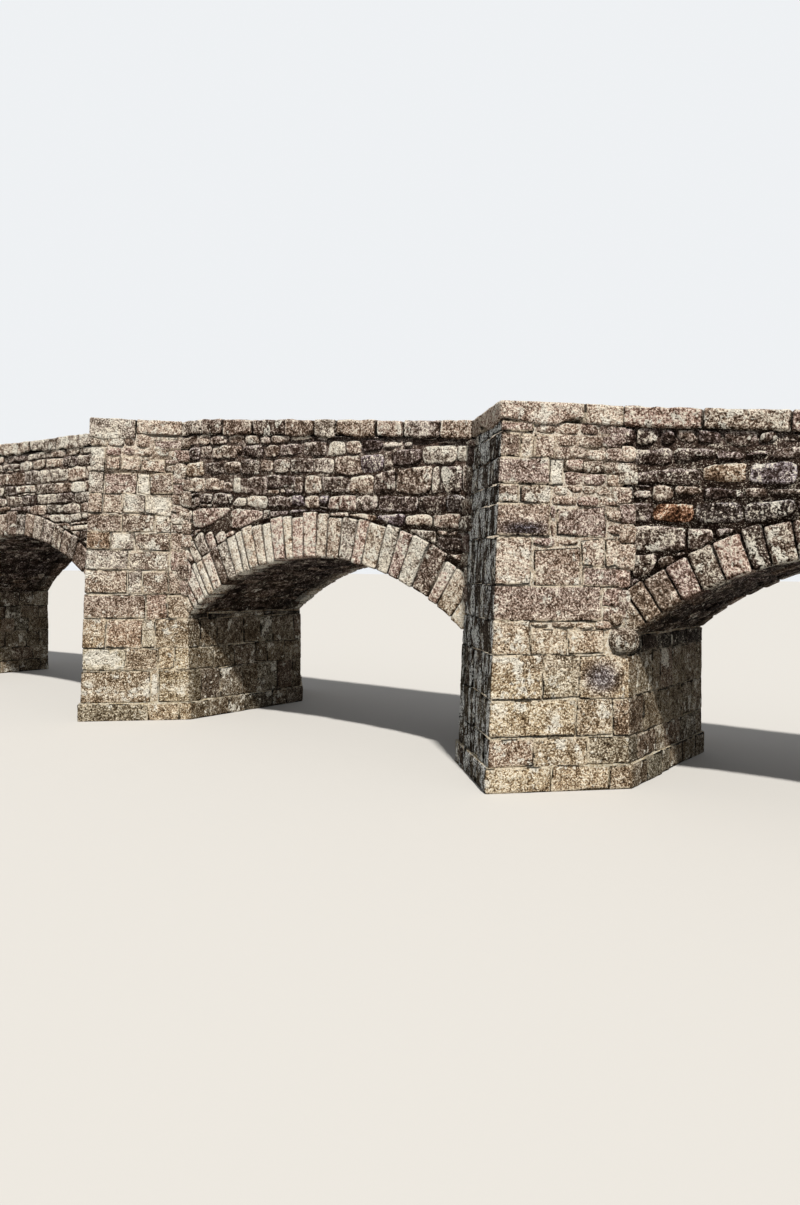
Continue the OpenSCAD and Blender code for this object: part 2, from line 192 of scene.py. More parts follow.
# Rough courses of the front, from the coping down. Each has the heights of its
# lower bed at the stations, then its upright joints.
STATIONS = {"left": np.array([-9.0, -6.0]), "middle": np.arange(-3, 3.1, 1.0),
            "right": np.arange(5.6, 7.7, 0.5)}
COURSES = {
    "left": (((5.14, 5.18), (-9.2, -8.8, -8.3, -7.4, -6.9, -6.4)),
             ((4.93, 4.95), (-9.3, -8.6, -8.1, -7.6, -7.0, -6.5, -6.0)),
             ((4.62, 4.64), (-9.0, -8.4, -7.85, -7.45, -6.8, -6.2)),
             ((4.40, 4.40), (-9.2, -8.7, -8.0, -7.3, -6.7, -6.25)),
             ((4.17, 4.18), (-9.1, -8.5, -7.9, -7.2, -6.6)),
             ((3.95, 3.97), (-9.0, -8.2, -7.6, -7.0, -6.4))),
    "middle": (
        ((5.10, 5.07, 5.01, 5.00, 4.97, 4.86, 4.80),
         (-3.15, -2.78, -2.47, -2.02, -1.60, -1.22, -0.95, -0.5, 0.0, 0.4)),
        ((4.82, 4.80, 4.77, 4.73, 4.71, 4.76, 4.77),
         (-2.75, -2.43, -1.78, -1.64, -1.13, -0.76, -0.22, 0.32, 0.71, 1.03, 1.47, 1.86,
          2.06, 2.5)),
        ((4.53, 4.50, 4.50, 4.44, 4.37, 4.47, 4.47),
         (-3.2, -2.64, -2.1, -1.67, -1.21, -0.9, -0.5, 0.01, 0.47, 1.03, 1.5, 1.67, 2.22,
          2.84)),
        ((4.24, 4.21, 4.13, 4.11, 4.07, 4.02, 4.01),
         (-3.12, -2.62, -2.12, -1.9, -1.69, -1.04, -0.39, -0.19, 0.2, 0.81, 1.29, 1.74,
          2.41, 2.55)),
        ((3.93, 3.96, 3.90, 3.87, 3.77, 3.75, 3.72),
         (-3.05, -2.75, -2.4, -1.88, -1.53, -1.03, -0.45, -0.16, 0.16, 0.35, 0.93, 1.37,
          2.16, 2.68)),
        ((3.58, 3.55, 3.62, 3.62, 3.60, 3.52, 3.45),
         (-2.97, -1.94, -1.14, -1.0, -0.54, -0.1, 0.4, 0.8, 1.35, 1.92, 2.42)),
        ((3.30, 3.28, 3.28, 3.28, 3.28, 3.24, 3.12), (-2.9, -2.5, -2.0, 2.0, 2.5))),
    "right": (
        ((4.52, 4.50, 4.47, 4.37, 4.42), (5.62, 5.92, 6.15, 6.42, 6.74, 7.16, 7.40)),
        ((4.24, 4.22, 4.25, 4.27, 4.24), (5.58, 6.13, 6.66, 7.03, 7.31)),
        ((4.03, 4.01, 3.98, 3.94, 3.91), (5.60, 6.49, 7.05, 7.64)),
        ((3.81, 3.79, 3.78, 3.76, 3.79), (5.60, 5.85, 6.14, 6.52, 7.02, 7.3)),
        ((3.51, 3.50, 3.45, 3.46, 3.48), (5.58, 5.86, 6.41, 7.02, 7.63)),
        ((3.13, 3.13, 3.16, 3.2, 3.2), (5.59, 6.31, 6.68)),
        ((2.80, 2.80, 2.8, 2.8, 2.8), (5.59, 5.95, 6.2)),
        ((2.50, 2.50, 2.5, 2.5, 2.5), (5.5, 5.8)))}
# Stones of the front that stand out: x, z, colour and lichen.
MARKS = ((-8.45, 5.05, ASH, 1.6), (-7.7, 4.75, ASH, 1.5), (-7.2, 4.75, ASH, 1.2),
    (-6.4, 4.5, ASH, 1.6), (-8.3, 4.3, UMBER, 0.0), (-6.9, 4.3, UMBER, 0.1),
    (-6.6, 5.05, UMBER, 0.1), (-2.95, 4.65, OCHRE, 0.4), (0.52, 4.85, ASH, 1.9),
    (1.25, 4.55, PLUM, 0.9), (2.45, 4.62, ASH, 1.2), (2.95, 4.60, ASH, 1.4),
    (-1.80, 4.36, ASH, 1.9), (-1.40, 4.92, UMBER, -0.3), (-2.1, 4.93, BROWN, 0.1),
    (0.75, 4.50, BROWN, -0.1), (-0.7, 4.25, UMBER, 0.0), (-1.25, 4.03, FAWN, 0.9),
    (-1.7, 4.05, ASH, 0.8), (-2.4, 3.75, ROSE, 0.5), (-1.5, 3.78, ROSE, 0.4),
    (1.75, 3.9, UMBER, -0.2), (2.4, 3.9, UMBER, 0.1), (2.9, 3.88, SOOT, 0.2),
    (2.1, 4.25, BROWN, 0.1), (2.8, 4.25, UMBER, 0.9), (1.6, 3.65, PLUM, -0.3),
    (2.15, 3.58, FAWN, 1.1), (0.65, 3.95, ROSE, 0.9), (1.1, 4.2, FAWN, 0.8),
    (-2.85, 4.4, FAWN, 0.9), (6.12, 3.63, RUST, -1.6), (6.78, 4.10, OCHRE, -0.5),
    (7.35, 4.08, SLATE, 0.2), (6.70, 3.60, SOOT, -0.6), (7.30, 3.62, SOOT, -0.2),
    (5.75, 4.62, UMBER, 1.2), (5.95, 3.30, DUN, 0.0), (5.75, 2.95, DUN, 0.9),
    (5.8, 4.35, UMBER, -0.2), (6.4, 4.35, UMBER, -0.1), (5.95, 4.1, UMBER, 0.2))

# Stones of the near right faces that stand out: distance from the nose, height,
# colour and lichen.
FACE_MARKS = {"left": ((0.1, 4.85, ASH, 1.2), (0.1, 4.4, ASH, 0.9), (0.97, 4.4, ASH, 2.6),
    (0.8, 4.0, GREY, 1.1), (1.25, 4.0, ASH, 1.9), (1.35, 3.65, TAN, 1.0), (0.3, 3.7, BROWN, 0.4),
    (0.9, 3.7, BROWN, 0.4), (0.2, 3.35, OCHRE, 0.3), (0.62, 3.35, GREY, 1.2),
    (1.2, 3.35, BROWN, 0.6), (0.4, 3.0, GREY, 1.0), (1.2, 3.0, BROWN, 1.0),
    (1.25, 2.6, BROWN, 0.8), (0.4, 2.6, TAN, 0.9), (0.5, 2.1, PLUM_TAN, 0.2),
    (1.3, 2.1, ROSE, 0.3), (0.3, 1.1, ASH, 1.3), (1.4, 5.15, PLUM_TAN, 0.1),
    (1.3, 4.4, BROWN, 0.2)),
    "right": ((0.2, 4.75, ROSE, 0.1), (0.1, 4.5, BROWN, 0.6), (0.36, 4.5, TAN, 0.7),
    (0.6, 4.5, TAN, 0.5), (0.3, 4.2, PLUM_TAN, 0.4), (0.8, 4.2, ASH, 1.8), (0.1, 3.9, BROWN, 0.5),
    (0.5, 3.9, BROWN, 0.6), (0.3, 3.5, TAN, 0.4), (1.1, 3.5, PLUM_TAN, 0.3),
    (0.2, 3.0, FAWN, 0.4), (0.8, 3.0, TAN, 0.6), (1.3, 3.1, TAN, 0.7), (1.65, 3.1, FAWN, 0.7),
    (1.5, 2.8, PLUM_TAN, 0.5), (0.7, 2.45, PLUM_TAN, 0.45), (0.3, 2.0, FAWN, 0.8),
    (0.8, 1.9, FAWN, 0.6), (0.4, 1.5, FAWN, 0.6), (0.5, 1.0, FAWN, 0.8))}
# Patches on them: distance, height, half width, half height, lichen, and colour if stained.
PATCHES = {"left": ((0.35, 5.25, 0.24, 0.16, 2.0), (1.80, 0.64, 0.28, 0.16, 2.6),
    (1.25, 5.45, 0.25, 0.1, 0.8), (0.12, 4.42, 0.16, 0.12, 1.0), (0.97, 4.42, 0.12, 0.14, 1.4),
    (0.82, 4.05, 0.25, 0.14, 0.9), (1.25, 4.03, 0.22, 0.13, 1.2), (1.34, 3.76, 0.12, 0.09, 1.8),
    (1.66, 3.72, 0.10, 0.10, 1.4), (0.62, 3.40, 0.20, 0.09, 1.9), (1.02, 3.26, 0.18, 0.07, 1.7),
    (0.90, 2.95, 0.18, 0.11, 1.3), (0.25, 2.95, 0.20, 0.12, 0.8), (1.25, 2.98, 0.20, 0.12, 0.9),
    (0.28, 2.62, 0.24, 0.14, 0.8), (1.25, 2.64, 0.18, 0.10, 1.2), (0.35, 1.15, 0.32, 0.15, 1.9),
    (1.30, 0.60, 0.30, 0.16, 2.0), (1.05, 4.75, 0.10, 0.08, 1.2)),
    "right": ((0.36, 3.43, 0.36, 0.11, -2.5, INK), (0.78, 4.18, 0.07, 0.10, 1.6),
    (0.20, 3.10, 0.10, 0.08, 1.0), (0.37, 2.08, 0.06, 0.05, 2.4), (0.15, 1.72, 0.10, 0.08, 2.4),
    (0.12, 1.08, 0.11, 0.12, 2.4), (0.85, 0.93, 0.12, 0.18, 2.2), (1.62, 1.05, 0.20, 0.12, 1.3),
    (0.88, 2.33, 0.045, 0.045, 2.6), (0.10, 2.85, 0.10, 0.12, 0.9), (0.62, 2.80, 0.08, 0.16, 1.4),
    (0.40, 4.95, 0.30, 0.06, 0.8), (1.52, 1.48, 0.30, 0.25, -1.2, SLATE),
    (0.6, 1.65, 0.3, 0.1, 0.3, OCHRE))}


# Noise on a lattice of hashed cells, the same on each run.
def cell_value(cell, seed):
    h = np.uint32(seed * 7919 + 17)
    for k, prime in enumerate((73856093, 19349663, 83492791)):
        h = h ^ cell[:, k].astype(np.uint32) * np.uint32(prime)
    for shift, prime in ((13, 1540483477), (15, 668265263), (13, 1)):
        h = (h ^ (h >> np.uint32(shift))) * np.uint32(prime)
    return h.astype(float) / 2 ** 31 - 1


def noise(points, scale, seed):
    """Smooth noise from -1 to 1 at each point."""
    p = np.asarray(points, float) * scale
    base = np.floor(p)
    f = p - base
    f = f * f * (3 - 2 * f)
    base = base.astype(np.int64)
    total = np.zeros(len(p))
    for k in range(8):
        step = np.array([k & 1, k >> 1 & 1, k >> 2 & 1])
        weight = np.prod(np.where(step, f, 1 - f), axis=1)
        total += weight * cell_value((base + step) & 0xFFFFFFFF, seed)
    return total


def pick(rng, mix, spread=1.25):
    """A colour from a mix, a little lighter or darker than others like it."""
    shares = np.array([m[1] for m in mix], float)
    colour = np.array(mix[rng.choice(len(mix), p=shares / shares.sum())][0])
    return colour * spread ** rng.uniform(-1, 1) * rng.uniform(0.985, 1.015, 3)


def put(name, data):
    """A new object in the scene."""
    obj = bpy.data.objects.new(name, data)
    bpy.context.collection.objects.link(obj)
    return obj


class Masonry:
    """The stones and mortar that stand for one node of the frame."""

    def __init__(self, node, seed):
        self.node, self.kind, self.seed, self.start = node, node.split("_")[0], seed, 0
        self.rng = np.random.default_rng(seed)
        self.points, self.faces, self.slots = [], [], []
        self.traits, self.depth, self.grime, self.shift = [], [], [], []

    def add(self, points, faces, colour, lichen=0.2, depth=1.0, grime=0.0, mortar=False):
        """One solid or facing; depth runs from 0 in a joint to 1 on the face."""
        n = len(points)
        self.points.append(np.asarray(points, float))
        self.faces.extend([[i + self.start for i in f] for f in faces])
        self.slots.extend([int(mortar)] * len(faces))
        self.traits.append(np.tile([*colour, lichen], (n, 1)))
        self.depth.append(np.broadcast_to(depth, n))
        self.grime.append(np.broadcast_to(grime, n))
        # Each stone is roughened by its own stretch of noise; mortar is not.
        away = np.zeros(4) if mortar else np.append(self.rng.uniform(0, 60, 3), 1.0)
        self.shift.append(np.tile(away, (n, 1)))
        self.start += n

    def build(self):
        """Roughens the stones and makes everything one piece in the node's place."""
        p, away, traits, depth, grime = (np.concatenate(v) for v in (
            self.points, self.shift, self.traits, self.depth, self.grime))
        traits[:, :3] *= WARMTH
        traits[:, 2] *= 1 - 0.2 * np.clip((SILT_TOP - p[:, 2]) / SILT_FADE, 0, 1)
        for at, along, wide, high, patch, *stain in PATCH_PLACES:
            d = p - at
            cover = np.exp(-((d @ along / wide) ** 2 + (d[:, 2] / high) ** 2) ** 2)
            cover *= np.abs(d[:, :2] @ (-along[1], along[0])) < PATCH_DEPTH
            traits[:, 3] += patch * cover
            if stain:
                traits[:, :3] += (stain[0] - traits[:, :3]) * cover[:, None]
        where = p + away[:, :3]
        for scale, size in ROUGH.get(self.kind, CRAGGY):
            shift = [noise(where, scale, self.seed + axis) for axis in range(3)]
            p = p + size * away[:, 3:] * np.stack(shift, 1)
        p[:, 2] = np.maximum(p[:, 2], 0.0)
        mesh = bpy.data.meshes.new(self.node + "_masonry")
        mesh.from_pydata(p.tolist(), [], self.faces)
        mesh.polygons.foreach_set("use_smooth", [True] * len(mesh.polygons))
        mesh.polygons.foreach_set("material_index", self.slots)
        for name, sort, key, values in (
                ("stone", "FLOAT_COLOR", "color", traits), ("depth", "FLOAT", "value", depth),
                ("grime", "FLOAT", "value", grime),
                ("pattern", "FLOAT_VECTOR", "vector", away[:, :3])):
            trait = mesh.attributes.new(name, sort, "POINT")
            trait.data.foreach_set(key, values.astype(np.float32).ravel())
        obj = put(mesh.name, mesh)
        for material in (STONE_OF.get(self.kind, ROUGH_STONE), MORTAR):
            mesh.materials.append(material)
        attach(obj, "root")
        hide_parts(self.node)


WORK = {node: Masonry(node, SEEDS["pieces"] + 7 * i)
        for i, node in enumerate(sorted(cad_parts))}


# Surfaces that stones are laid on, with h the height over them.
class Course:
    """A wall face over a plan polyline; outward is to the right of travel."""
    marks = ()

    def __init__(self, foot, lean=None):
        self.foot = foot = np.asarray(foot, float)
        self.lean = np.zeros_like(foot) if lean is None else np.asarray(lean, float)
        along = foot[1:] - foot[:-1]
        size = np.linalg.norm(along, axis=1)
        self.knots = np.concatenate([[0], np.cumsum(size)])
        self.length = self.knots[-1]
        out = np.stack([along[:, 1], -along[:, 0]], 1) / size[:, None]
        knots, normals, self.bends = [0.0], [out[0]], []
        for at, m, n in zip(self.knots[1:], out, out[1:]):
            if m @ n <= 0.999:
                self.bends.append(at)
                knots += [at - CORNER_R, at, at + CORNER_R]
                normals += [m, (m + n) / (1 + m @ n), n]
        self.normal_knots = np.array([*knots, self.length])
        self.normals = np.array([*normals, out[-1]])

    def normal(self, u):
        return [np.interp(u, self.normal_knots, self.normals[:, k]) for k in (0, 1)]

    def place(self, u, v, h):
        u, v, h = np.broadcast_arrays(u, v, h)
        plan = [np.interp(u, self.knots, self.foot[:, k])
                + v * np.interp(u, self.knots, self.lean[:, k]) + h * n
                for k, n in enumerate(self.normal(u))]
        return np.stack([*plan, v], -1)


class Soffit:
    """The underside of an arch: u follows the curve, v runs towards -Y."""

    def __init__(self, arch):
        self.arch = arch

    def place(self, u, v, h):
        return self.arch.at(u / self.arch.radius, self.arch.radius - h, -v)


class Floor:
    """A walked surface: u runs along X, v along Y, at the level of line(u)."""

    def __init__(self, line):
        self.line = line

    def place(self, u, v, h):
        return np.stack([u, v, self.line(u) + h], -1)


# Outlines of stones: convex polygons, anticlockwise, in a surface's u and v.
def cut(poly, point, normal):
    """Keeps the part of an outline on the side that the normal points to."""
    kept, side = [], (poly - point) @ normal
    for a, b, s, t in zip(poly, np.roll(poly, -1, 0), side, np.roll(side, -1)):
        if s >= 0:
            kept.append(a)
        if (s >= 0) != (t >= 0):
            kept.append(a + (b - a) * s / (s - t))
    return np.array(kept).reshape(-1, 2)


def within(poly, a, b, gap=0.0):
    """Keeps what lies left of the line from a to b, and a gap away from it."""
    size = math.hypot(*(b - a))
    if size < 1e-6 or len(poly) < 3:
        return poly
    n = np.array([a[1] - b[1], b[0] - a[0]]) / size
    return cut(poly, a + n * gap, n)


def area_and_centre(poly):
    x, y = poly[:, 0], poly[:, 1]
    nx, ny = np.roll(x, -1), np.roll(y, -1)
    cross = x * ny - nx * y
    area = cross.sum() / 2
    if abs(area) < 1e-9:
        return 0.0, poly.mean(0)
    return area, np.array([((x + nx) * cross).sum(), ((y + ny) * cross).sum()]) / (6 * area)


def corner_cut(points, ratios):
    """Cuts an outline's corners off; each side loses its share at both ends."""
    out = []
    for r, a, b in zip(ratios, points, [*points[1:], points[0]]):
        out += [a + (b - a) * r, b + (a - b) * r]
    return out


def rounded(poly, rng, soft, spacing):
    """Rounds an outline's corners, each by its own amount, and spaces its points evenly."""
    points = []
    for a, b in zip(poly, np.roll(poly, -1, 0)):
        points.append(a)
        if math.hypot(*(b - a)) > 0.24:
            points.append((a + b) / 2 + rng.normal(0, 0.008, 2))
    points = corner_cut(points, rng.uniform(soft * 0.35, soft * 1.65, len(points)))
    points = np.array(corner_cut(points, [0.27] * len(points)))
    ahead = np.roll(points, -1, axis=0)
    reach = np.concatenate([[0], np.cumsum(np.hypot(*(ahead - points).T))])
    n = int(max(9, round(reach[-1] / spacing)))
    at = np.linspace(0, reach[-1], n, endpoint=False)
    closed = np.vstack([points, points[:1]])
    return np.column_stack([np.interp(at, reach, closed[:, k]) for k in (0, 1)])


def inset(ring, d):
    """A dense ring moved inwards along its own normals."""
    along = np.roll(ring, -1, axis=0) - np.roll(ring, 1, axis=0)
    size = np.maximum(np.hypot(*along.T), 1e-9)
    return ring + d * np.column_stack([-along[:, 1], along[:, 0]]) / size[:, None]


def fill(ring, spacing, rng):
    """Points inside a ring and the triangles that cover it, ring points first."""
    lo, hi = ring.min(0), ring.max(0)
    points = [np.zeros((0, 2))]
    for k, y in enumerate(np.arange(lo[1] + spacing * 0.4, hi[1], spacing * 0.87)):
        x = np.arange(lo[0] + spacing * (0.25 + 0.5 * (k % 2)), hi[0], spacing)
        points.append(np.column_stack([x, np.full(len(x), y)]))
    p = np.concatenate(points)
    p = p + rng.uniform(-0.22, 0.22, p.shape) * spacing
    a, b = ring, np.roll(ring, -1, axis=0)
    step = b - a
    rise = np.where(np.abs(step[:, 1]) < 1e-12, 1e-12, step[:, 1])
    above = (a[:, 1] > p[:, 1:2]) != (b[:, 1] > p[:, 1:2])
    crossing = a[:, 0] + (p[:, 1:2] - a[:, 1]) / rise * step[:, 0]
    p = p[(above & (p[:, 0:1] < crossing)).sum(1) % 2 == 1]
    if len(p):
        away = p[:, None] - a
        f = np.clip((away * step).sum(2) / np.maximum((step ** 2).sum(1), 1e-12), 0, 1)
        gap = np.sqrt(((away - f[..., None] * step) ** 2).sum(2)).min(1)
        p = p[gap > spacing * 0.55]
    every, n = np.vstack([ring, p]), len(ring)
    made = delaunay_2d_cdt([Vector(q) for q in every], [(i, (i + 1) % n) for i in range(n)],
                           [], 1, 1e-6)
    if len(made[0]) != len(every):
        return every[:n], [[i, i + 1, 0] for i in range(1, n - 1)]
    return every, [list(f) for f in made[2]]


def boulder(work, surface, poly, mix, gap=0.006, soft=0.17, root=0.06, bulge=0.026,
            lichen=0.5, colour=None, stand=0.0, spacing=0.06, grime=0.0, craggy=1.0):
    """A rough stone of a wall, from its outline.

    soft is how round its corners are, root how deep it reaches, bulge how far its
    face swells and craggy how broken it is; stand moves its face out.
    """
    rng, whole = work.rng, poly
    for a, b in zip(whole, np.roll(whole, -1, 0)):
        poly = within(poly, a, b, gap)
    if len(poly) < 3:
        return
    area, centre = area_and_centre(poly)
    if area < LEAST_AREA:
        return
    ring = rounded(poly, rng, soft, spacing)
    n, small = len(ring), math.sqrt(area)
    bulge = min(bulge, small * 0.16)
    edge = min(bulge * 0.7, small * 0.1)
    inner = inset(ring, edge)
    if area_and_centre(inner)[0] < area * 0.3:
        inner = centre + (ring - centre) * 0.7
    flat, faces = fill(inner, spacing, rng)
    top = rng.uniform(-0.3, 0.4) * bulge
    away = np.sqrt(((flat[:, None] - inner[None]) ** 2).sum(2)).min(1)
    # Three rings of points from the stone's root, with their depths, then the face's.
    rings = ((ring, -root, 0.0), (ring, -bulge, 0.35),
             (inset(ring, edge * 0.35), -bulge * 0.35, 0.8))
    p = np.concatenate([np.column_stack([q, np.full(n, z)]) for q, z, _ in rings]
                       + [np.column_stack([flat, top * np.minimum(away / (small / 2), 1)])])
    depth = np.repeat([d for _, _, d in rings] + [0.92, 1.0], [n] * 4 + [len(flat) - n])
    # Broken faces: a few random planes chip the face back.
    chips = np.zeros(len(p))
    for _ in range(3):
        way = rng.normal(0, 1, 2)
        way /= np.linalg.norm(way)
        run = (p[:, :2] - centre) @ way - rng.uniform(0.0, 0.8) * small / 2
        chips -= np.maximum(run, 0) * rng.uniform(0.0, 0.3) * craggy
    tilt = rng.normal(0, 0.035 * craggy, 2)
    stand = stand + rng.uniform(-0.022, 0.002) * craggy
    lift = np.maximum(stand + (p[:, :2] - centre) @ tilt + chips, -FACE_BACK)
    p[:, 2] = np.minimum(p[:, 2] + np.where(depth > 0, lift, 0), FACE_OUT)
    quads = [[k * n + i, k * n + (i + 1) % n, (k + 1) * n + (i + 1) % n, (k + 1) * n + i]
             for k in range(3) for i in range(n)]
    faces = quads + [[i + 3 * n for i in f] for f in faces]
    colour = pick(rng, mix, 1.45) if colour is None else colour
    work.add(surface.place(*p.T), faces, colour, rng.normal(lichen, 0.4), depth, grime)


_lattices = {}


def lattice(counts, closed=True):
    """Points used and faces of a box cut into a lattice; an open one has no back."""
    if (counts, closed) not in _lattices:
        index = np.arange(np.prod(counts)).reshape(counts)
        sides = [(index[:, :, -1], 1), (index[:, 0, :], 1), (index[:, -1, :], -1),
                 (index[0, :, :], -1), (index[-1, :, :], 1), (index[:, :, 0], -1)]
        quads = [[grid[i, j], grid[i + 1, j], grid[i + 1, j + 1], grid[i, j + 1]][::turn]
                 for grid, turn in sides[:6 if closed else 5]
                 for i in range(grid.shape[0] - 1) for j in range(grid.shape[1] - 1)]
        used, fresh = np.unique(np.array(quads), return_inverse=True)
        _lattices[counts, closed] = used, fresh.reshape(-1, 4).tolist()
    return _lattices[counts, closed]


def block(work, lines, shape, round_by, colour, lichen=0.5, closed=True, flip=False,
          grime=0.0, mortar=False, seams=(0, 1), face=2):
    """A dressed stone: a box lattice with rounded edges, bent by shape(a, b, c).

    lines are the lattice's coordinates on each axis. The stone meets its
    neighbours at both ends of the seam axes, and the last line of the face axis
    is what shows.
    """
    used, quads = lattice(tuple(len(line) for line in lines), closed)
    grid = [g.ravel()[used] for g in np.meshgrid(*lines, indexing="ij")]
    ends = [(g <= line[0] + 1e-9).astype(int) - (g >= line[-1] - 1e-9)
            for g, line in zip(grid, lines)]
    # Edges are pulled in by a share of the rounding, and corners by more.
    pull = np.array([0.0, 0.0, 0.3, 0.42])[sum(np.abs(e) for e in ends)] * round_by
    grid = [g + e * pull for g, e in zip(grid, ends)]
    depth = np.ones(len(grid[0]))
    for axis in seams:
        near = np.minimum(grid[axis] - lines[axis][0], lines[axis][-1] - grid[axis])
        depth = np.minimum(depth, 0.25 + near / SEAM_BAND[work.kind])
    if face is not None:
        deep = (grid[face] - lines[face][0]) / (lines[face][-1] - lines[face][0])
        depth = np.minimum(depth, deep * 1.2)
    if flip:
        quads = [q[::-1] for q in quads]
    work.add(shape(*grid), quads, colour, lichen, np.clip(depth, 0, 1),
             grime(grid[0]) if callable(grime) else grime, mortar)


def lines_between(a, b, step, edge=0.022, bends=()):
    """Lattice lines from a to b: two near each end, the rest evenly between."""
    edge = min(edge, (b - a) * 0.12)
    near = edge * 2.4
    fixed = [k + d for k in bends for d in (-CORNER_R, 0, CORNER_R)]
    stops = [a + near, *[x for x in fixed if a + near + 0.01 < x < b - near - 0.01], b - near]
    lines = [a, a + edge]
    for s, t in zip(stops, stops[1:]):
        n = max(1, round((t - s) / step))
        lines += [s + (t - s) * i / n for i in range(n)]
    return np.array(lines + [b - near, b - edge, b])


def ashlar(work, surface, u0, u1, v0, v1, mix, gap=0.004, root=0.05, round_by=0.024,
           lichen=0.25, colour=None, shift=None, step=0.075, wobble=0.010, grime=0.0):
    """A squared facing stone; one that crosses a bend of its surface turns it.

    Its corners stray by about wobble, or are moved by shift.
    """
    rng = work.rng
    u0, u1, v0, v1 = u0 + gap, u1 - gap, v0 + gap, v1 - gap
    bends = [k for k in surface.bends if u0 + 0.06 < k < u1 - 0.06]
    lines = (lines_between(u0, u1, step, 0.018, bends), lines_between(v0, v1, step, 0.018),
             np.array([-root, -round_by * 1.3, -round_by * 0.4, 0.0]))
    centre, half = ((u0 + u1) / 2, (v0 + v1) / 2), ((u1 - u0) / 2, (v1 - v0) / 2)
    tilt = np.zeros(2) if bends else rng.normal(0, 0.018, 2)
    crown, stand = rng.uniform(-0.004, 0.008), rng.uniform(-0.012, 0.004)
    # How far each corner strays: lower left, lower right, upper right, upper left.
    stray = rng.normal(0, wobble, (4, 2)) * (0.5, 1) if shift is None else shift

    def shape(a, b, c):
        s, t = (a - centre[0]) / half[0], (b - centre[1]) / half[1]
        front = c > -root * 0.9
        lift = stand + tilt[0] * (a - centre[0]) + tilt[1] * (b - centre[1])
        h = c + front * (lift + crown * (1 - s * s) * (1 - t * t))
        for k in bends:
            h = h - front * 0.012 * np.clip(1 - np.abs(a - k) / CORNER_R, 0, 1)
        weights = ((1 - s) * (1 - t), (1 + s) * (1 - t), (1 + s) * (1 + t), (1 - s) * (1 + t))
        for w, (du, dv) in zip(weights, stray):
            a, b = a + w / 4 * du * (not bends), b + w / 4 * dv
        return surface.place(a, b, h)

    colour = pick(rng, mix, 1.3) if colour is None else colour
    block(work, lines, shape, round_by * rng.uniform(0.6, 1.4), colour,
          rng.normal(lichen, 0.3), closed=False, grime=grime)


# Patterns of stones.
def joints_along(rng, start, end, bends, turn, mean, known=None):
    """Joint positions along a course; stones turn the bends, long and short in turn.

    known holds, by bend, how far beyond it the joints lie that are known.
    """
    marks = []
    for i, k in enumerate(b for b in bends if start + 0.15 < b < end - 0.15):
        long, short = rng.uniform(0.46, 0.66), rng.uniform(0.22, 0.34)
        before, after = (long, short) if (turn + i) % 2 else (short, long)
        fixed = (known or {}).get(round(k, 3), [after])
        marks.append((k - before, k + fixed[0], [k + d for d in fixed[1:]]))
    joints, at, pending = [start], start, []
    for before, after, rest in [*marks, (end, end, [])]:
        if pending:
            joints += [x for x in pending if at + 0.1 < x < before - 0.1]
        elif before - at > mean * 1.45:
            n = max(2, round((before - at) / mean))
            stray = rng.uniform(-0.28, 0.28, n + 1)
            joints += [at + (before - at) * (i + stray[i]) / n for i in range(1, n)]
        if before - joints[-1] > 0.12:
            joints.append(before)
        at, pending = after, rest
        if after > joints[-1] + 0.1:
            joints.append(after)
    joints[-1] = end
    return joints


def rough_wall(surface, u0, u1, top, low, owner, mix, seed, clip=None, height=(0.19, 0.29),
               width=(0.28, 0.78), given=(), stations=(), foot=(0.0, 0.026), **stone):
    """Rough courses under the line top(u), down to low(u).

    The given courses come first, each its lower bed at the stations and its joints.
    foot is how wide the gaps under the stones are.
    """
    rng = np.random.default_rng(seed)
    us = np.arange(u0 - BED_STEP, u1 + 2 * BED_STEP, BED_STEP)
    line, bottom = top(us) + 0 * us, low(us) + 0 * us
    k = 0
    while (line > bottom + 0.02).any():
        if k < len(given):
            beds, joints = given[k]
            drop = np.interp(us, stations, np.array(beds) - np.interp(stations, us, top(us)))
            lower, joints = top(us) + drop, list(joints)
        else:
            lower = line - rng.uniform(*height) + rng.uniform(-0.02, 0.02, len(us))
            joints = [rng.uniform(u0, u1)]
        lower = np.minimum(lower, line - 0.03)
        while joints[0] > u0:
            joints.insert(0, joints[0] - rng.uniform(*width))
        while joints[-1] < u1:
            joints.append(joints[-1] + rng.uniform(*width))
        lean = rng.normal(0, 0.02, len(joints))
        for a, b, lean_a, lean_b in zip(joints, joints[1:], lean, lean[1:]):
            for f0, f1, s0, s1 in pieces(rng, b - a, k < len(given)):
                poly, shadow, mid = [], rng.uniform(*foot), (s0 + s1) / 2
                for f, s in ((f1, s0), (f1, mid), (f1, s1), (f0, s1), (f0, mid), (f0, s0)):
                    u = a + lean_a * (0.5 - f) + (b - a + (lean_b - lean_a) * (0.5 - f)) * s
                    v = np.interp(u, us, line) * (1 - f) + np.interp(u, us, lower) * f
                    poly.append((u, v + rng.normal(0, 0.006) + shadow * (f == f1)))
                lay(surface, np.array(poly), u0, u1, top, low, owner, mix, clip, stone)
        line, k = lower, k + 1


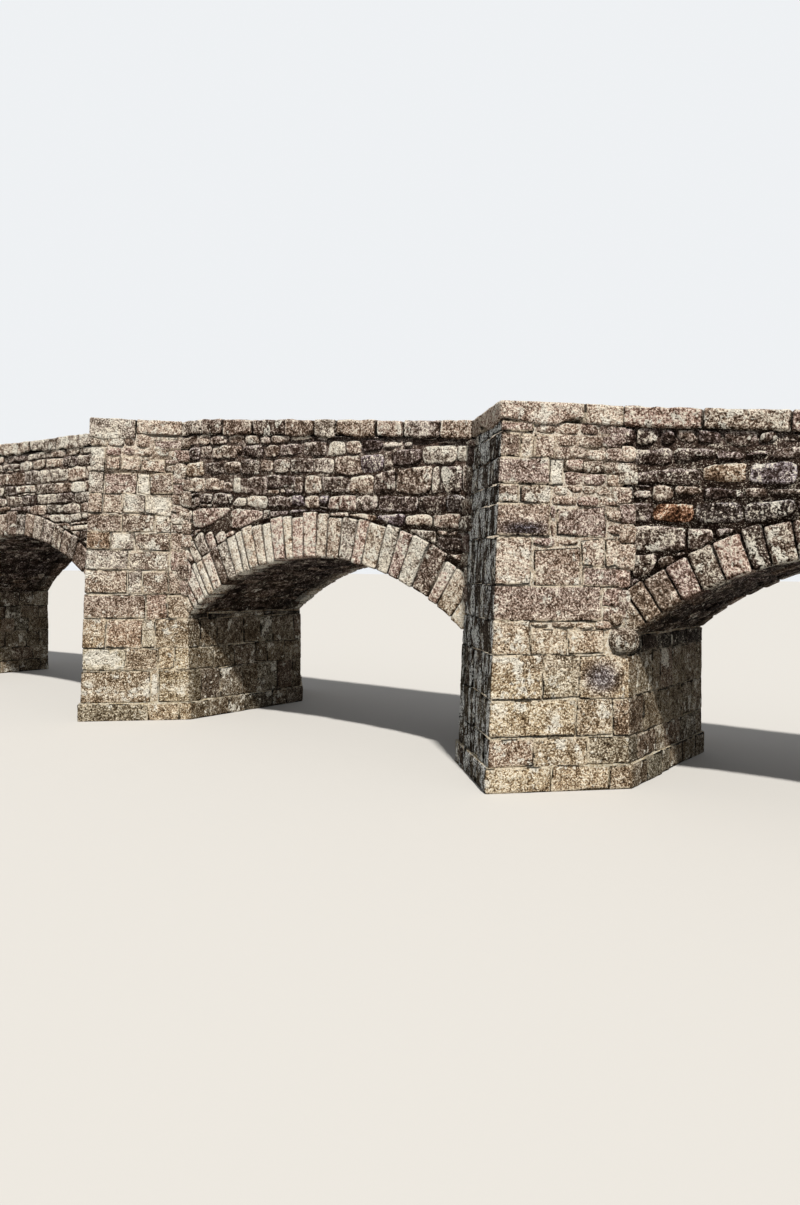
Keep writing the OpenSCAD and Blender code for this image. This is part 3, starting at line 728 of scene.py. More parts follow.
def pieces(rng, wide, known):
    """How a cell of a rough course is filled: one stone, or a stone and packing."""
    kind = rng.random()
    if kind < (PACKED_IF_KNOWN if known else PACKED):
        f = rng.uniform(0.70, 0.82)
        cuts = [0.0, *sorted(rng.uniform(0.2, 0.8, int(wide / 0.3))), 1.0]
        if rng.random() < 0.5:
            return [(0, f, 0, 1)] + [(f, 1, a, b) for a, b in zip(cuts, cuts[1:])]
        return [(1 - f, 1, 0, 1)] + [(0, 1 - f, a, b) for a, b in zip(cuts, cuts[1:])]
    if kind > 1 - HALVED and not known:
        f = rng.uniform(0.4, 0.6)
        return [(0, f, 0, 1), (f, 1, 0, 1)]
    return [(0, 1, 0, 1)]


def lay(surface, poly, u0, u1, top, low, owner, mix, clip, stone):
    """Cuts a rough stone's outline to its wall, and lays what is left."""
    poly[:, 1] = np.minimum(poly[:, 1], top(poly[:, 0]))
    poly = cut(poly, (u0, 0), (1.0, 0))
    poly = cut(poly, (u1, 0), (-1.0, 0))
    if len(poly) < 3:
        return
    poly = cut(poly, (0, float(low(area_and_centre(poly)[1][0]))), (0, 1.0))
    if clip and len(poly) > 2:
        poly = clip(poly)
    if len(poly) < 3:
        return
    for x, z, colour, lichen in surface.marks:
        if (poly.min(0) < (x, z)).all() and (poly.max(0) > (x, z)).all():
            stone = {**stone, "colour": colour, "lichen": lichen}
    boulder(owner(area_and_centre(poly)[1]), surface, poly, mix, **stone)


# What the frame says about the arches, the way and the parapets.
def corners(node):
    """The different corner points of a node's solid."""
    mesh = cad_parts[node].data
    co = np.empty(len(mesh.vertices) * 3)
    mesh.vertices.foreach_get("co", co)
    return np.unique(co.reshape(-1, 3).round(5), axis=0)


def welded(node):
    bm = bmesh.new()
    bm.from_mesh(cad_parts[node].data)
    bmesh.ops.remove_doubles(bm, verts=bm.verts, dist=1e-5)
    return bm


def separate_stones(node):
    """Corner points of each loose stone in a node."""
    bm = welded(node)
    seen, out = set(), []
    for start in bm.verts:
        if start in seen:
            continue
        group, todo = [], [start]
        seen.add(start)
        while todo:
            v = todo.pop()
            group.append(v.co[:])
            fresh = {e.other_vert(v) for e in v.link_edges} - seen
            seen |= fresh
            todo.extend(fresh)
        out.append(np.array(group))
    bm.free()
    return out


class Arch:
    """The circle, springing and ring of one bay."""

    def __init__(self, bay):
        self.bay = bay
        ring, vault = corners(f"ring_{bay}_front"), corners(f"vault_{bay}")
        self.spring = ring[:, 2].min()
        low = ring[ring[:, 2] < self.spring + 1e-4]
        self.left, self.right = low[:, 0].min(), low[:, 0].max()
        self.x, half = (self.left + self.right) / 2, (self.right - self.left) / 2
        near = vault[np.abs(vault[:, 0] - self.x) < half / 8]
        point = near[near[:, 2].argmin()]
        run, rise = point[0] - self.x, point[2] - self.spring
        drop = (half ** 2 - run ** 2 - rise ** 2) / (2 * rise)
        self.z, self.radius = self.spring - drop, math.hypot(half, drop)
        self.turn = math.asin(half / self.radius)
        # Each voussoir as (first turn, last turn, outer radius).
        self.stones = {side: sorted(self.polar(s) for s in separate_stones(f"ring_{bay}_{word}"))
                       for word, side in SIDES.items()}

    def polar(self, p):
        dx, dz = p[:, 0] - self.x, p[:, 2] - self.z
        turn = np.arctan2(dx, dz)
        return float(turn.min()), float(turn.max()), float(np.hypot(dx, dz).max())

    def at(self, turn, r, y):
        return np.stack([self.x + r * np.sin(turn), y + 0 * r, self.z + r * np.cos(turn)], -1)

    def back(self, side, first, last):
        """The ring's largest radius between two turns."""
        return max((r for t0, t1, r in self.stones[side] if t1 > first and t0 < last),
                   default=None)


ARCHES = {bay: Arch(bay) for bay in BAYS}
PIERS = {"left": (ARCHES["left"].right + ARCHES["middle"].left) / 2,
         "right": (ARCHES["middle"].right + ARCHES["right"].left) / 2}
FACE, INNER = -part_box("approach_left_front")[0].y, -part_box("approach_left_front")[1].y
END = {"left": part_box("roadway")[0].x, "right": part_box("roadway")[1].x}
BED = {end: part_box(f"approach_{end}_front")[0].z for end in END}
WALL_END = {"left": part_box("wall_left_front")[0].x, "right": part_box("wall_right_front")[1].x}
COPING_STONES = {(bay, word): separate_stones(f"coping_{bay}_{word}")
                 for bay in BAYS for word in SIDES}


def end_levels(stone):
    """(x, foot, top) at both ends of a coping stone."""
    ends = [(x, stone[np.abs(stone[:, 0] - x) < 2e-3, 2])
            for x in (stone[:, 0].min(), stone[:, 0].max())]
    return [(x, z.min(), z.max()) for x, z in ends]


def line_through(points):
    """The height over x of the line through points (x, z)."""
    x, z = np.array(sorted(points)).T
    return lambda at: np.interp(at, x, z)


foot_z = line_through(end[:2] for bay in BAYS for stone in COPING_STONES[bay, "front"]
                      for end in end_levels(stone))
way = corners("roadway")
way_z = line_through((x, way[way[:, 0] == x, 2].max()) for x in np.unique(way[:, 0]))


class Point:
    """Plan of a pier's cutwater and refuge, level by level."""

    def __init__(self, pier, before, after):
        self.x = PIERS[pier]
        p = corners(f"cutwater_{pier}_front")
        self.floor = p[:, 2].max()
        top = p[p[:, 2] > self.floor - 1e-4]
        self.plinth = p[p[:, 2] < self.floor - 1e-4, 2].max()
        out = -FACE - p[:, 1]
        self.plinth_out = out.max()
        at_plinth = np.unique(out[(np.abs(p[:, 2] - self.plinth) < 1e-4)
                                  & (np.abs(p[:, 0] - self.x) < 1e-3)])
        high, low = (-FACE - top[:, 1]).max(), at_plinth[-2:].min()
        self.slope = (high - low) / (self.floor - self.plinth)
        self.foot = low - self.slope * self.plinth
        self.splay = (top[:, 0].max() - self.x) / high
        self.spring = {"left": ARCHES[before].spring, "right": ARCHES[after].spring}
        self.low_spring = min(self.spring.values())
        self.half_spring = ARCHES[after].left - self.x
        body = corners(f"pier_{pier}")
        half = np.abs(body[:, 0] - self.x)
        at = np.unique(half[np.abs(body[:, 2] - self.plinth) < 1e-4].round(4))
        self.half_plinth, self.plinth_half = at.min(), at.max()
        inner = corners(f"refuge_{pier}_front")
        self.top = inner[:, 2].max()
        self.inside = (-FACE - inner[np.abs(inner[:, 0] - self.x) < 1e-3, 1]).min()
        self.mouth = self.inside * self.splay

    def nose(self, z):
        return self.foot + self.slope * z

    def on_face(self, u, z):
        """A point on the near right face, u away from the nose, and the way along it."""
        along = np.array([self.splay, 1.0, 0.0]) / math.hypot(self.splay, 1)
        return np.array([self.x, -FACE - self.nose(z), z]) + u * along, along


POINTS = {pier: Point(pier, *bays) for pier, bays in zip(PIERS, (BAYS[:2], BAYS[1:]))}
PATCH_PLACES = [(*POINTS[pier].on_face(u, z), *patch)
                for pier in PIERS for u, z, *patch in PATCHES[pier]]


# Mortar backings.
def exposed(kind, face):
    """Whether a face of a node's solid shows, and so lies behind stones."""
    n, c = face.normal, face.calc_center_median()
    at_end = abs(n.x) > 0.9 and min(abs(c.x - x) for x in END.values()) < 0.01
    if kind == "pier":
        return abs(n.x) > 0.9
    if kind == "abutment":
        return abs(n.z) < 0.3
    if kind == "wall":
        mouth = abs(n.x) > 0.9 and any(abs(abs(c.x - p.x) - p.mouth) < 0.01
                                       for p in POINTS.values())
        return abs(n.y) > 0.9 or mouth or (n.z > 0.9 and any(
            abs(c.z - p.floor) < 0.01 and abs(c.x - p.x) < p.mouth for p in POINTS.values()))
    if kind == "approach":
        return abs(n.y) > 0.9 or at_end
    if kind == "cutwater":
        return abs(n.x) > 0.3 or (n.z > 0.9 and c.z > 1)
    if kind == "refuge":
        return abs(n.z) < 0.3 and abs(n.x) > 0.3
    return at_end or (n.z > 0.9 and kind == "roadway")


def backing(work, recess, colour):
    """A copy of the node's solid, with the faces that show moved inwards."""
    bm = welded(work.node)
    bm.normal_update()
    moved = []
    for v in bm.verts:
        faces = [f for f in v.link_faces if f.calc_area() > 1e-9]
        goals = [-recess if shows(work, f) else 0.0 for f in faces]
        step = np.linalg.lstsq(np.array([f.normal[:] for f in faces]), goals, rcond=0.02)[0]
        size = np.linalg.norm(step)
        moved.append(np.array(v.co) + step * min(1, 3 * recess / max(size, 1e-9)))
    for v, p in zip(bm.verts, moved):
        v.co = p
    bm.verts.index_update()
    work.add(moved, [[v.index for v in f.verts] for f in bm.faces], colour, 0.1, 0.6,
             mortar=True)
    bm.free()


def shows(work, face):
    if work.kind != "vault":
        return exposed(work.kind, face)
    # A vault shows only its underside.
    arch, c = ARCHES[work.node.split("_")[1]], face.calc_center_median()
    return face.normal.dot(Vector((c.x - arch.x, 0, c.z - arch.z)).normalized()) < -0.9


for node, work in WORK.items():
    if work.kind in RECESS and "coping" not in node:
        brown = work.kind in RUBBLE and "right" not in node
        pale = work.kind in DRESSED and work.kind != "abutment"
        backing(work, RECESS[work.kind],
                MORTAR_PALE if pale else BROWN_MORTAR_AND_SHADE if brown else DARK_MORTAR_AND_SHADE)


# Piers, cutwaters and refuges, in courses of squared blocks.
def pier_loop(p, low):
    """Closed face of a pier and its cutwaters, begun in the middle of the left side."""
    if low < p.plinth - 0.01:
        half, lean, out, slope = p.plinth_half + 0.012, 0, p.plinth_out, 0
    else:
        lean = (p.half_spring - p.half_plinth) / (p.spring["right"] - p.plinth)
        half, out, slope = p.half_plinth - lean * p.plinth, p.foot, p.slope
    foot = [(-half, 0), (-half, -FACE), (0, -FACE - out), (half, -FACE), (half, FACE),
            (0, FACE + out), (-half, FACE), (-half, 0), (-half, -FACE)]
    tip = [(-lean, 0), (-lean, 0), (0, -slope), (lean, 0), (lean, 0), (0, slope),
           (-lean, 0), (-lean, 0), (-lean, 0)]
    return Course([(p.x + x, y) for x, y in foot], tip)


def pier_work(pier, y, level):
    """The piece that a stone of a pier belongs to."""
    if abs(y) < FACE - 0.01:
        return WORK[f"pier_{pier}"]
    kind = "cutwater" if level < POINTS[pier].floor else "refuge"
    return WORK[f"{kind}_{pier}_{'front' if y < 0 else 'rear'}"]


def sunless(course, most):
    """How much grime and painted shade a course gets: faces that never get the sun are the
    darkest.
    """
    def grime(u):
        x, y = course.normal(u)
        # Painted shade: most on faces turned from the sun, less on the pier sides under the
        # arches, least on the rear.
        shade = np.where(x > 0.9, 0.6, np.where(y > 0.3, 0.25, 0.0))
        return np.where(x < -0.3, most, shade)
    return grime


def lay_courses(course, joints, v0, v1, owner, mix, most=DARKEST):
    for a, b in zip(joints, joints[1:]):
        ashlar(owner((a + b) / 2), course, a, b, v0, v1, mix, grime=sunless(course, most))


def rough_cell(work, course, u0, u1, v0, v1, **stone):
    """Small rough stones that fill part of a course."""
    rng = work.rng
    rows = max(1, round((v1 - v0) / PACKING_HEIGHT))
    levels = [v0 + (v1 - v0) * i / rows for i in range(rows + 1)]
    for low, top in zip(levels, levels[1:]):
        count = max(1, round((u1 - u0) / rng.uniform(0.22, 0.36)))
        stops = u0 + (u1 - u0) * np.arange(count + 1) / count
        stops[1:-1] += rng.uniform(-0.06, 0.06, count - 1)
        for a, b in zip(stops, stops[1:]):
            mid = (a + b) / 2
            poly = np.array([(a, low), (mid, low), (b, low), (b, top), (mid, top), (a, top)])
            poly = poly + rng.normal(0, 0.011, poly.shape)
            boulder(work, course, poly, LOOSE_MIX, spacing=0.05, gap=0.003, soft=0.11,
                    stand=0.012, **stone)


def lay_near(pier, k, course, nose, end, joints, v0, v1, owner, stretch):
    """One course of a pier's near right face: the stones beyond the one on the nose.

    The course narrows upwards, so its own distances are the real ones times stretch.
    """
    reach, rough = (end - nose) / stretch, ROUGH_FROM[pier].get(k, 99)
    cells = list(CELLS[pier].get(k, ()))
    if not cells:
        stops = [(j - nose) / stretch for j in joints if nose + 0.01 < j < end + 0.01]
        cells = [(a, b, v0, v1, 0) for a, b in zip(stops, stops[1:]) if b < rough + 0.03]
    if reach - rough > 0.08:
        cells.append((rough, reach, v0, v1, 1))
    for u0, u1, low, top, is_rough in cells:
        u1, top = min(u1, reach), min(top, v1)
        from_nose, to_nose = nose + u0 * stretch, nose + u1 * stretch
        where = owner((from_nose + to_nose) / 2), course, from_nose, to_nose, low, top
        style = {"lichen": NEAR_LICHEN[pier]}
        for u, z, colour, lichen in FACE_MARKS[pier][::-1]:
            if u0 < u < u1 and low < z < top:
                style = {"colour": colour, "lichen": lichen}
        if is_rough:
            rough_cell(*where, **style)
        else:
            ashlar(*where, ASHLAR_MIX, wobble=0.016, **style)


def face_mark(pier, k):
    """The mark of the stone that turns the nose in course k."""
    low, top = BEDS[pier][k], [*BEDS[pier], 9.0][k + 1]
    for u, z, colour, lichen in FACE_MARKS[pier]:
        if u < JOINTS[pier][k][0] and low < z < top:
            return {"colour": colour, "lichen": lichen}
    return {"lichen": NEAR_LICHEN[pier]}


def pier_course(pier, k, v0, v1, rng):
    p, z = POINTS[pier], (v0 + v1) / 2
    if v1 <= p.low_spring + 0.01:
        loop = pier_loop(p, v0)
        start = rng.uniform(*LOOP_START)
        courses = [(loop, start, start + loop.knots[7], loop.knots[2], loop.knots[3], True)]
    else:
        # Above the springing only the two points go on.
        courses = []
        for side in (FRONT, REAR):
            half, lean = p.foot * p.splay, p.slope * p.splay
            plan = np.array([(-half, -FACE), (0, -FACE - p.foot), (half, -FACE)]) * -side
            tip = np.array([(-lean, 0), (0, -p.slope), (lean, 0)]) * -side
            point = Course(plan + (p.x, 0), tip)
            courses.append((point, 0.0, point.length, point.bends[0], point.length,
                            side == FRONT))
    for course, first, last, nose, end, is_near in courses:
        stretch = p.foot / p.nose(z)
        near = {round(nose, 3): [j * stretch for j in JOINTS[pier][k]]} if is_near else {}
        joints = joints_along(rng, first, last, course.bends, k, BLOCK["pier"], near)

        def owner(u, course=course):
            return pier_work(pier, course.place(u, z, 0.0)[1], z)

        if not is_near:
            lay_courses(course, joints, v0, v1, owner, ASHLAR_MIX)
            continue
        # The near right face runs from the nose stone to the stone that turns
        # the far corner, or to the wall.
        stop = max(j for j in joints if j < end + 0.01)
        for a, b in zip(joints, joints[1:]):
            if a <= nose or b >= stop + 0.01:
                style = face_mark(pier, k) if a < nose < b else {}
                ashlar(owner((a + b) / 2), course, a, b, v0, v1, ASHLAR_MIX,
                       grime=sunless(course, DARKEST), **style)
        lay_near(pier, k, course, nose, stop, joints, v0, v1, owner, stretch)


def straight(x0, y0, x1, y1):
    return Course([(x0, y0), (x1, y1)])


for pier, p in POINTS.items():
    rng = np.random.default_rng(SEEDS[pier + " pier"])
    levels = [*BEDS[pier], p.top]
    for k, (v0, v1) in enumerate(zip(levels, levels[1:])):
        pier_course(pier, k, v0, v1, rng)
    # Stub courses on the pier's sides, up to the skewbacks.
    for word, sign in (("left", -1), ("right", 1)):
        low = max(z for z in BEDS[pier] if z <= p.low_spring + 0.01)
        if p.spring[word] - low > 0.05:
            x = p.x + sign * p.half_spring
            side = straight(x, -sign * FACE, x, sign * FACE)
            joints = joints_along(rng, 0, side.length, [], 0, BLOCK["stub"])
            # These stones take the darker mix of painted shade under the arches.
            lay_courses(side, joints, low, p.spring[word], lambda u: WORK[f"pier_{pier}"],
                        SHADED_PIER_SIDE_MIX)


# Rough stones that round off the corners between the cutwaters and the walls.
def fillet(pier, side, hand):
    p = POINTS[pier]
    rng = np.random.default_rng(SEEDS["corners"] + 5 * side + hand)
    z, top = p.spring["right" if hand > 0 else "left"] + 0.35, float(foot_z(p.x)) - 0.02
    while z < top - 0.06:
        high = min(z + rng.uniform(0.2, 0.33), top)
        middle = (z + high) / 2
        edge, leg = p.nose(middle) * p.splay, math.hypot(p.splay, 1)
        back, on = rng.uniform(0.08, 0.24) / leg, rng.uniform(0.05, 0.20)
        if middle < p.spring["left"] + 1.0:
            on = 0.04
        plan = np.array([(hand * (edge - back * p.splay), -FACE - back),
                         (hand * (edge + on), -FACE)]) + (p.x, 0)
        if side == REAR:
            plan[:, 1] *= -1
        part = Course(plan[::-side * hand])
        poly = np.array([(0, z), (part.length, z), (part.length, high), (0, high)])
        # Stones that turn away from the sun get painted shade with their grime value.
        boulder(pier_work(pier, side * FACE, middle), part, poly + rng.normal(0, 0.014, (4, 2)),
                LOOSE_MIX, lichen=0.4, spacing=0.05, root=0.12, stand=0.015,
                grime=0.7 if hand < 0 else 0.0)
        z = high


for pier in PIERS:
    for side in (FRONT, REAR):
        for hand in (-1, 1):
            fillet(pier, side, hand)


# The boulder under the right arch's springing, and a smaller one on top of it:
# lattices bulged out to rounded blocks.
for u, z, size, colour in ((1.80, 1.98, (0.19, 0.21, 0.165), DUN),
                           (1.66, 2.25, (0.10, 0.11, 0.09), BROWN)):
    used, quads = lattice((8, 8, 8))
    grid = np.stack(np.meshgrid(*[np.linspace(-1, 1, 8)] * 3, indexing="ij"), -1)
    v = grid.reshape(-1, 3)[used]
    v = v / (np.abs(v) ** 3).sum(-1, keepdims=True) ** (1 / 3)
    at = POINTS["right"].on_face(u, z)[0] - (0.02, -0.06, 0)
    WORK["cutwater_right_front"].add(at + v * size, quads, colour, 0.5)


# Abutments: closed loops of coursed blocks, and a stepped course at the skewback.
for end, sign in (("left", -1), ("right", 1)):
    arch, back, work = ARCHES[end], END[end], WORK[f"abutment_{end}"]
    river = arch.left if end == "left" else arch.right
    rng = np.random.default_rng(SEEDS[end + " abutment"])
    far, near = sign * FACE, -sign * FACE
    loop = Course([(back, 0), (back, far), (river, far), (river, near), (back, near), (back, 0),
                   (back, far)])
    count = round(arch.spring / COURSE_HEIGHT)
    stray = rng.uniform(-0.04, 0.04, count + 1)
    levels = [arch.spring * i / count + (stray[i] if 0 < i < count else 0)
              for i in range(count + 1)]
    for k, (v0, v1) in enumerate(zip(levels, levels[1:])):
        start = rng.uniform(*LOOP_START)
        joints = joints_along(rng, start, start + loop.knots[5], loop.bends, k,
                              BLOCK["abutment"])
        lay_courses(loop, joints, v0, v1, lambda u: work, ASHLAR_MIX, DIM)
    # The last course leans against the ring's first stone and runs round the end.
    slant = (BED[end] - arch.spring) * math.tan(arch.turn)
    for side in (FRONT, REAR):
        ends = sorted((river, back), reverse=side == REAR)
        course = straight(ends[0], side * FACE, ends[1], side * FACE)
        joints = joints_along(rng, 0, course.length, [], side, BLOCK["top"])
        for a, b in zip(joints, joints[1:]):
            shift = np.zeros((4, 2))
            for corner, u, lean in ((2, b, -slant), (3, a, slant)):
                if abs(course.place(u, 0, 0)[0] - river) < 1e-3:
                    shift[corner, 0] = lean
            ashlar(work, course, a, b, arch.spring, BED[end], ASHLAR_MIX, shift=shift)
    cross = straight(back, near, back, far)
    joints = joints_along(rng, 0, cross.length, [], 0, BLOCK["top"])
    lay_courses(cross, joints, arch.spring, BED[end], lambda u: work, ASHLAR_MIX, DIM)


# Rings of voussoirs, each on the place of its own solid.
def ring_stones(bay, word):
    arch, side, work = ARCHES[bay], SIDES[word], WORK[f"ring_{bay}_{word}"]
    rng, wide, radius = work.rng, FACE - INNER, arch.radius
    for first, last, outer in arch.stones[side]:
        depth = outer - radius
        out, tip = rng.uniform(-0.016, 0.006), rng.normal(0, 0.02)
        drop = rng.uniform(-0.004, 0.012)
        lines = (lines_between(first * radius + 0.004, last * radius - 0.004, 0.07),
                 lines_between(0, depth, 0.075), lines_between(-wide, 0, 0.16))

        def shape(a, b, c):
            y = side * (FACE + c + out * (c > -0.1) + tip * (b - depth / 2) * (c > -0.1))
            return arch.at(a / radius, radius + b + drop * (b < 0.05), y)

        block(work, lines, shape, 0.04,
              pick(rng, RING_MIX[bay], 1.8 if bay == "middle" else 1.55),
              rng.normal(RING_LICHEN[bay], 0.8), flip=side == REAR, seams=(0,))
    span = np.linspace(-arch.turn, arch.turn, 41) * radius
    back = min(r for _, _, r in arch.stones[side]) - radius - 0.03
    block(work, (span, np.array([0.03, back]), np.array([-wide, -0.03])),
          lambda a, b, c: arch.at(a / radius, radius + b, side * (FACE + c)), 0.0,
          MORTAR_PALE if bay == "middle" else DARK_MORTAR_AND_SHADE, 0.1, flip=side == REAR, mortar=True)


def coping_stones(bay, word):
    work, stones = WORK[f"coping_{bay}_{word}"], COPING_STONES[bay, word]
    rng = work.rng
    # The right bay's coping is the most regular.
    smooth, ragged, gap = (0.6, 0.0, 0.003) if bay == "right" else (1.0, 0.035, 0.010)
    for stone in stones:
        (xa, foot_a, top_a), (xb, foot_b, top_b) = end_levels(stone)
        ya, yb = stone[:, 1].min(), stone[:, 1].max()
        thick = min(top_a - foot_a, top_b - foot_b)
        lift_a, lift_b = rng.uniform(-0.012, 0.0, 2) * smooth
        sway = rng.normal(0, 0.006, 2) * smooth
        lines = (lines_between(xa + gap, xb - gap, 0.08), lines_between(ya, yb, 0.12),
                 lines_between(0, thick, 0.08))

        def shape(a, b, c):
            f = (a - xa) / (xb - xa)
            z = foot_a + (foot_b - foot_a) * f + c + (lift_a + (lift_b - lift_a) * f) * c / thick
            wave = noise(np.stack([a * 5, b * 2, 0 * a], -1), 1.0, 9)
            low = (c < 0.03) * ragged * wave
            return np.stack([a, b + sway[0] + (sway[1] - sway[0]) * f, z + low], -1)

        block(work, lines, shape, 0.035, pick(rng, COPING_MIX[bay], 1.4),
              rng.normal(COPING_LICHEN[bay], 0.4), seams=(0,), face=None)
    x, foot = np.array(sorted(end[:2] for s in stones for end in end_levels(s))).T
    run = np.unique([x[0] + 0.03, *x[1:-1], x[-1] - 0.03])
    y = stones[0][:, 1]
    block(work, (run, np.array([y.min() + 0.04, y.max() - 0.04]), np.array([0.0, 0.2])),
          lambda a, b, c: np.stack([a, b, np.interp(a, x, foot) + c], -1), 0.0,
          MORTAR_PALE if bay == "right" else BROWN_MORTAR_AND_SHADE, 0.1, mortar=True)


# The refuge coping's shares are measured as these lengths along and across it.
COPING_RUN, COPING_BREADTH = 1.6, 0.41


def refuge_coping(pier, word):
    """Coping that turns the refuge's point: a nose stone and one on each leg."""
    p, side, work = POINTS[pier], SIDES[word], WORK[f"refuge_coping_{pier}_{word}"]
    rng, cad = work.rng, corners(work.node)
    reach = np.abs(cad[np.abs(cad[:, 0] - p.x) < 1e-3, 1]) - FACE
    out, inn = reach.max(), reach.min()
    low, high = cad[:, 2].min(), cad[:, 2].max()
    legs = np.abs(cad[:, 1]) - FACE
    split = 1 - np.median(legs[(legs > 0.1 * out) & (legs < inn)]) / out
    root, step = 1 - 0.025 / out, 0.08 / (out * 1.37)
    for a0, a1 in ((-root, -split - 0.004), (-split, split), (split + 0.004, root)):
        nose = a0 < 0 < a1
        stops = [a0, *((-0.02, 0, 0.02) if nose else ()), a1]
        lines = (np.unique(np.concatenate([[a0 + 0.013, a1 - 0.013]] + [
                     np.linspace(s, t, max(2, round((t - s) / step) + 1))
                     for s, t in zip(stops, stops[1:])])) * COPING_RUN,
                 np.linspace(0, 1, 5) * COPING_BREADTH, lines_between(0, high - low, 0.08))
        tilt = rng.uniform(-0.012, 0.0)

        def shape(a, b, c):
            a, b = a / COPING_RUN, np.clip(b / COPING_BREADTH, 0, 1)
            r = out + (inn - out) * (1 - b)
            worn = 0.02 * np.clip(1 - np.abs(a) / 0.03, 0, 1) * (b > 0.5)
            y = worn - r * (1 - np.abs(a)) - FACE
            wave = noise(np.stack([a * 7, b, 0 * a + p.x], -1), 1.0, 5)
            low_by = np.interp(np.abs(a) * out * math.hypot(p.splay, 1), *zip(*NOSE_HANG[pier]))
            hang = np.clip(1 - c / 0.1, 0, 1) * (low_by * nose + 0.02 * wave)
            return np.stack([p.x + a * r * p.splay, -side * y, low + c + tilt * c - hang * b], -1)

        block(work, lines, shape, 0.034, pick(rng, COPING_MIX["left"]), 0.8,
              flip=side == FRONT, seams=(0,), face=None)


for word in SIDES:
    for bay in BAYS:
        ring_stones(bay, word)
        coping_stones(bay, word)
    for pier in PIERS:
        refuge_coping(pier, word)


# Rows of slabs across the bridge: the vaults' long thin ones and the way's setts.
def slabs(node, surface, u, end, widths, stagger, runs, least, stray, mix, **stone):
    work = WORK[node]
    rng = work.rng
    while u < end - 0.02:
        w = rng.uniform(*widths)
        if end - u - w < 0.1:
            w = end - u
        v = -INNER - rng.uniform(0, stagger)
        while v < INNER:
            run = rng.uniform(*runs)
            a, b = max(v, -INNER), min(v + run, INNER)
            if b - a > least:
                quad = np.array([(u, a), (u + w, a), (u + w, b), (u, b)])
                boulder(work, surface, quad + rng.normal(0, stray, (4, 2)), mix, root=0.05,
                        **stone)
            v += run
        u += w


for bay, arch in ARCHES.items():
    half = arch.turn * arch.radius
    # The soffit slabs are darkened as painted shade under the arches, by their colours and their
    # grime value.
    slabs(f"vault_{bay}", Soffit(arch), -half, half, (0.11, 0.24), 0.5, (0.4, 1.05), 0.07, 0.008,
          SHADED_SOFFIT_MIX, gap=0.007, soft=0.16, bulge=0.022, lichen=-0.7, grime=0.3, spacing=0.11)
slabs("roadway", Floor(way_z), END["left"], END["right"], (0.17, 0.30), 0.2, (0.18, 0.42), 0.06,
      0.012, WAY_MIX, gap=0.008, soft=0.22, bulge=0.016, lichen=0.1, spacing=0.09, craggy=0.3)


# Rough spandrels, parapets and approach walls.
class Facade(Course):
    """The outer face of a whole side, with u the same as x on the front."""

    def __init__(self, side):
        first, last = (END["left"], END["right"])[::-side]
        super().__init__([(first, side * FACE), (last, side * FACE)])
        self.start, self.marks = -side * first, MARKS if side == FRONT else ()

    def place(self, u, v, h):
        return super().place(u - self.start, v, h)


FACADES = {side: Facade(side) for side in SIDES.values()}


def facade_clip(side):
    """Cuts outlines off at the rings and at the cutwaters; u is x times sign."""
    sign = -side

    def clip(poly):
        u, z = area_and_centre(poly)[1]
        x = u * sign
        for arch in ARCHES.values():
            d = np.array([x - arch.x, z - arch.z])
            turn = math.atan2(*d)
            turns = np.arctan2(poly[:, 0] * sign - arch.x, poly[:, 1] - arch.z)
            r = arch.back(side, turns.min(), turns.max())
            if abs(turn) > arch.turn + 0.12 or r is None:
                continue
            r = max([r] + [fan_top(arch, side, t) or 0 for t in (*turns, turn)])
            n = d / np.linalg.norm(d) * (sign, 1)
            poly = cut(poly, np.array([arch.x * sign, arch.z]) + n * (r + 0.004), n)
            if len(poly) < 3:
                return poly
        for p in POINTS.values():
            if z < p.top + 0.01:
                away = math.copysign(1, x - p.x)
                edge = p.x + away * (p.nose(z) * p.splay - 0.03)
                poly = cut(poly, (edge * sign, 0), (away * sign, 0.0))
                if len(poly) < 3:
                    return poly
        return poly
    return clip


def fan_top(arch, side, turn):
    """How far the slabs over the middle arch's left haunch carry the ring outwards."""
    if arch.bay != "middle" or side != FRONT or not -arch.turn - 0.05 < turn < -FAN_FROM:
        return None
    back = arch.back(side, turn, turn)
    return back and min(back + FAN_REACH, (FAN_LEVEL - arch.z) / math.cos(turn))


def lay_fan():
    arch, rng = ARCHES["middle"], np.random.default_rng(SEEDS["fan"])
    for first, last, outer in arch.stones[FRONT]:
        middle = (first + last) / 2
        far = fan_top(arch, FRONT, middle)
        if far is None or far - outer < 0.07:
            continue
        rays = [(outer + 0.004, t) for t in (last, first)]
        rays += [(fan_top(arch, FRONT, t) or far, t) for t in (first, middle, last)]
        poly = np.array([(arch.x + r * math.sin(t), arch.z + r * math.cos(t))
                         for r, t in rays])[::-1]
        boulder(WORK["wall_middle_front"], FACADES[FRONT], poly + rng.normal(0, 0.006, poly.shape),
                RING_MIX["middle"], lichen=0.3, spacing=0.05, stand=0.01)


def wall_work(x, word):
    """The piece that a stone of the walls belongs to."""
    if WALL_END["left"] <= x <= WALL_END["right"]:
        bay = BAYS[int(x >= PIERS["left"]) + int(x >= PIERS["right"])]
        return WORK[f"wall_{bay}_{word}"]
    return WORK[f"approach_{'left' if x < 0 else 'right'}_{word}"]


def low_line(x):
    """Where the rough walls start: on the abutments, or at the springing between them."""
    over = (x > ARCHES["left"].left - SKEWBACK) & (x < ARCHES["right"].right + SKEWBACK)
    return np.where(over, SPANDREL_FOOT, np.where(x < 0, BED["left"], BED["right"]))


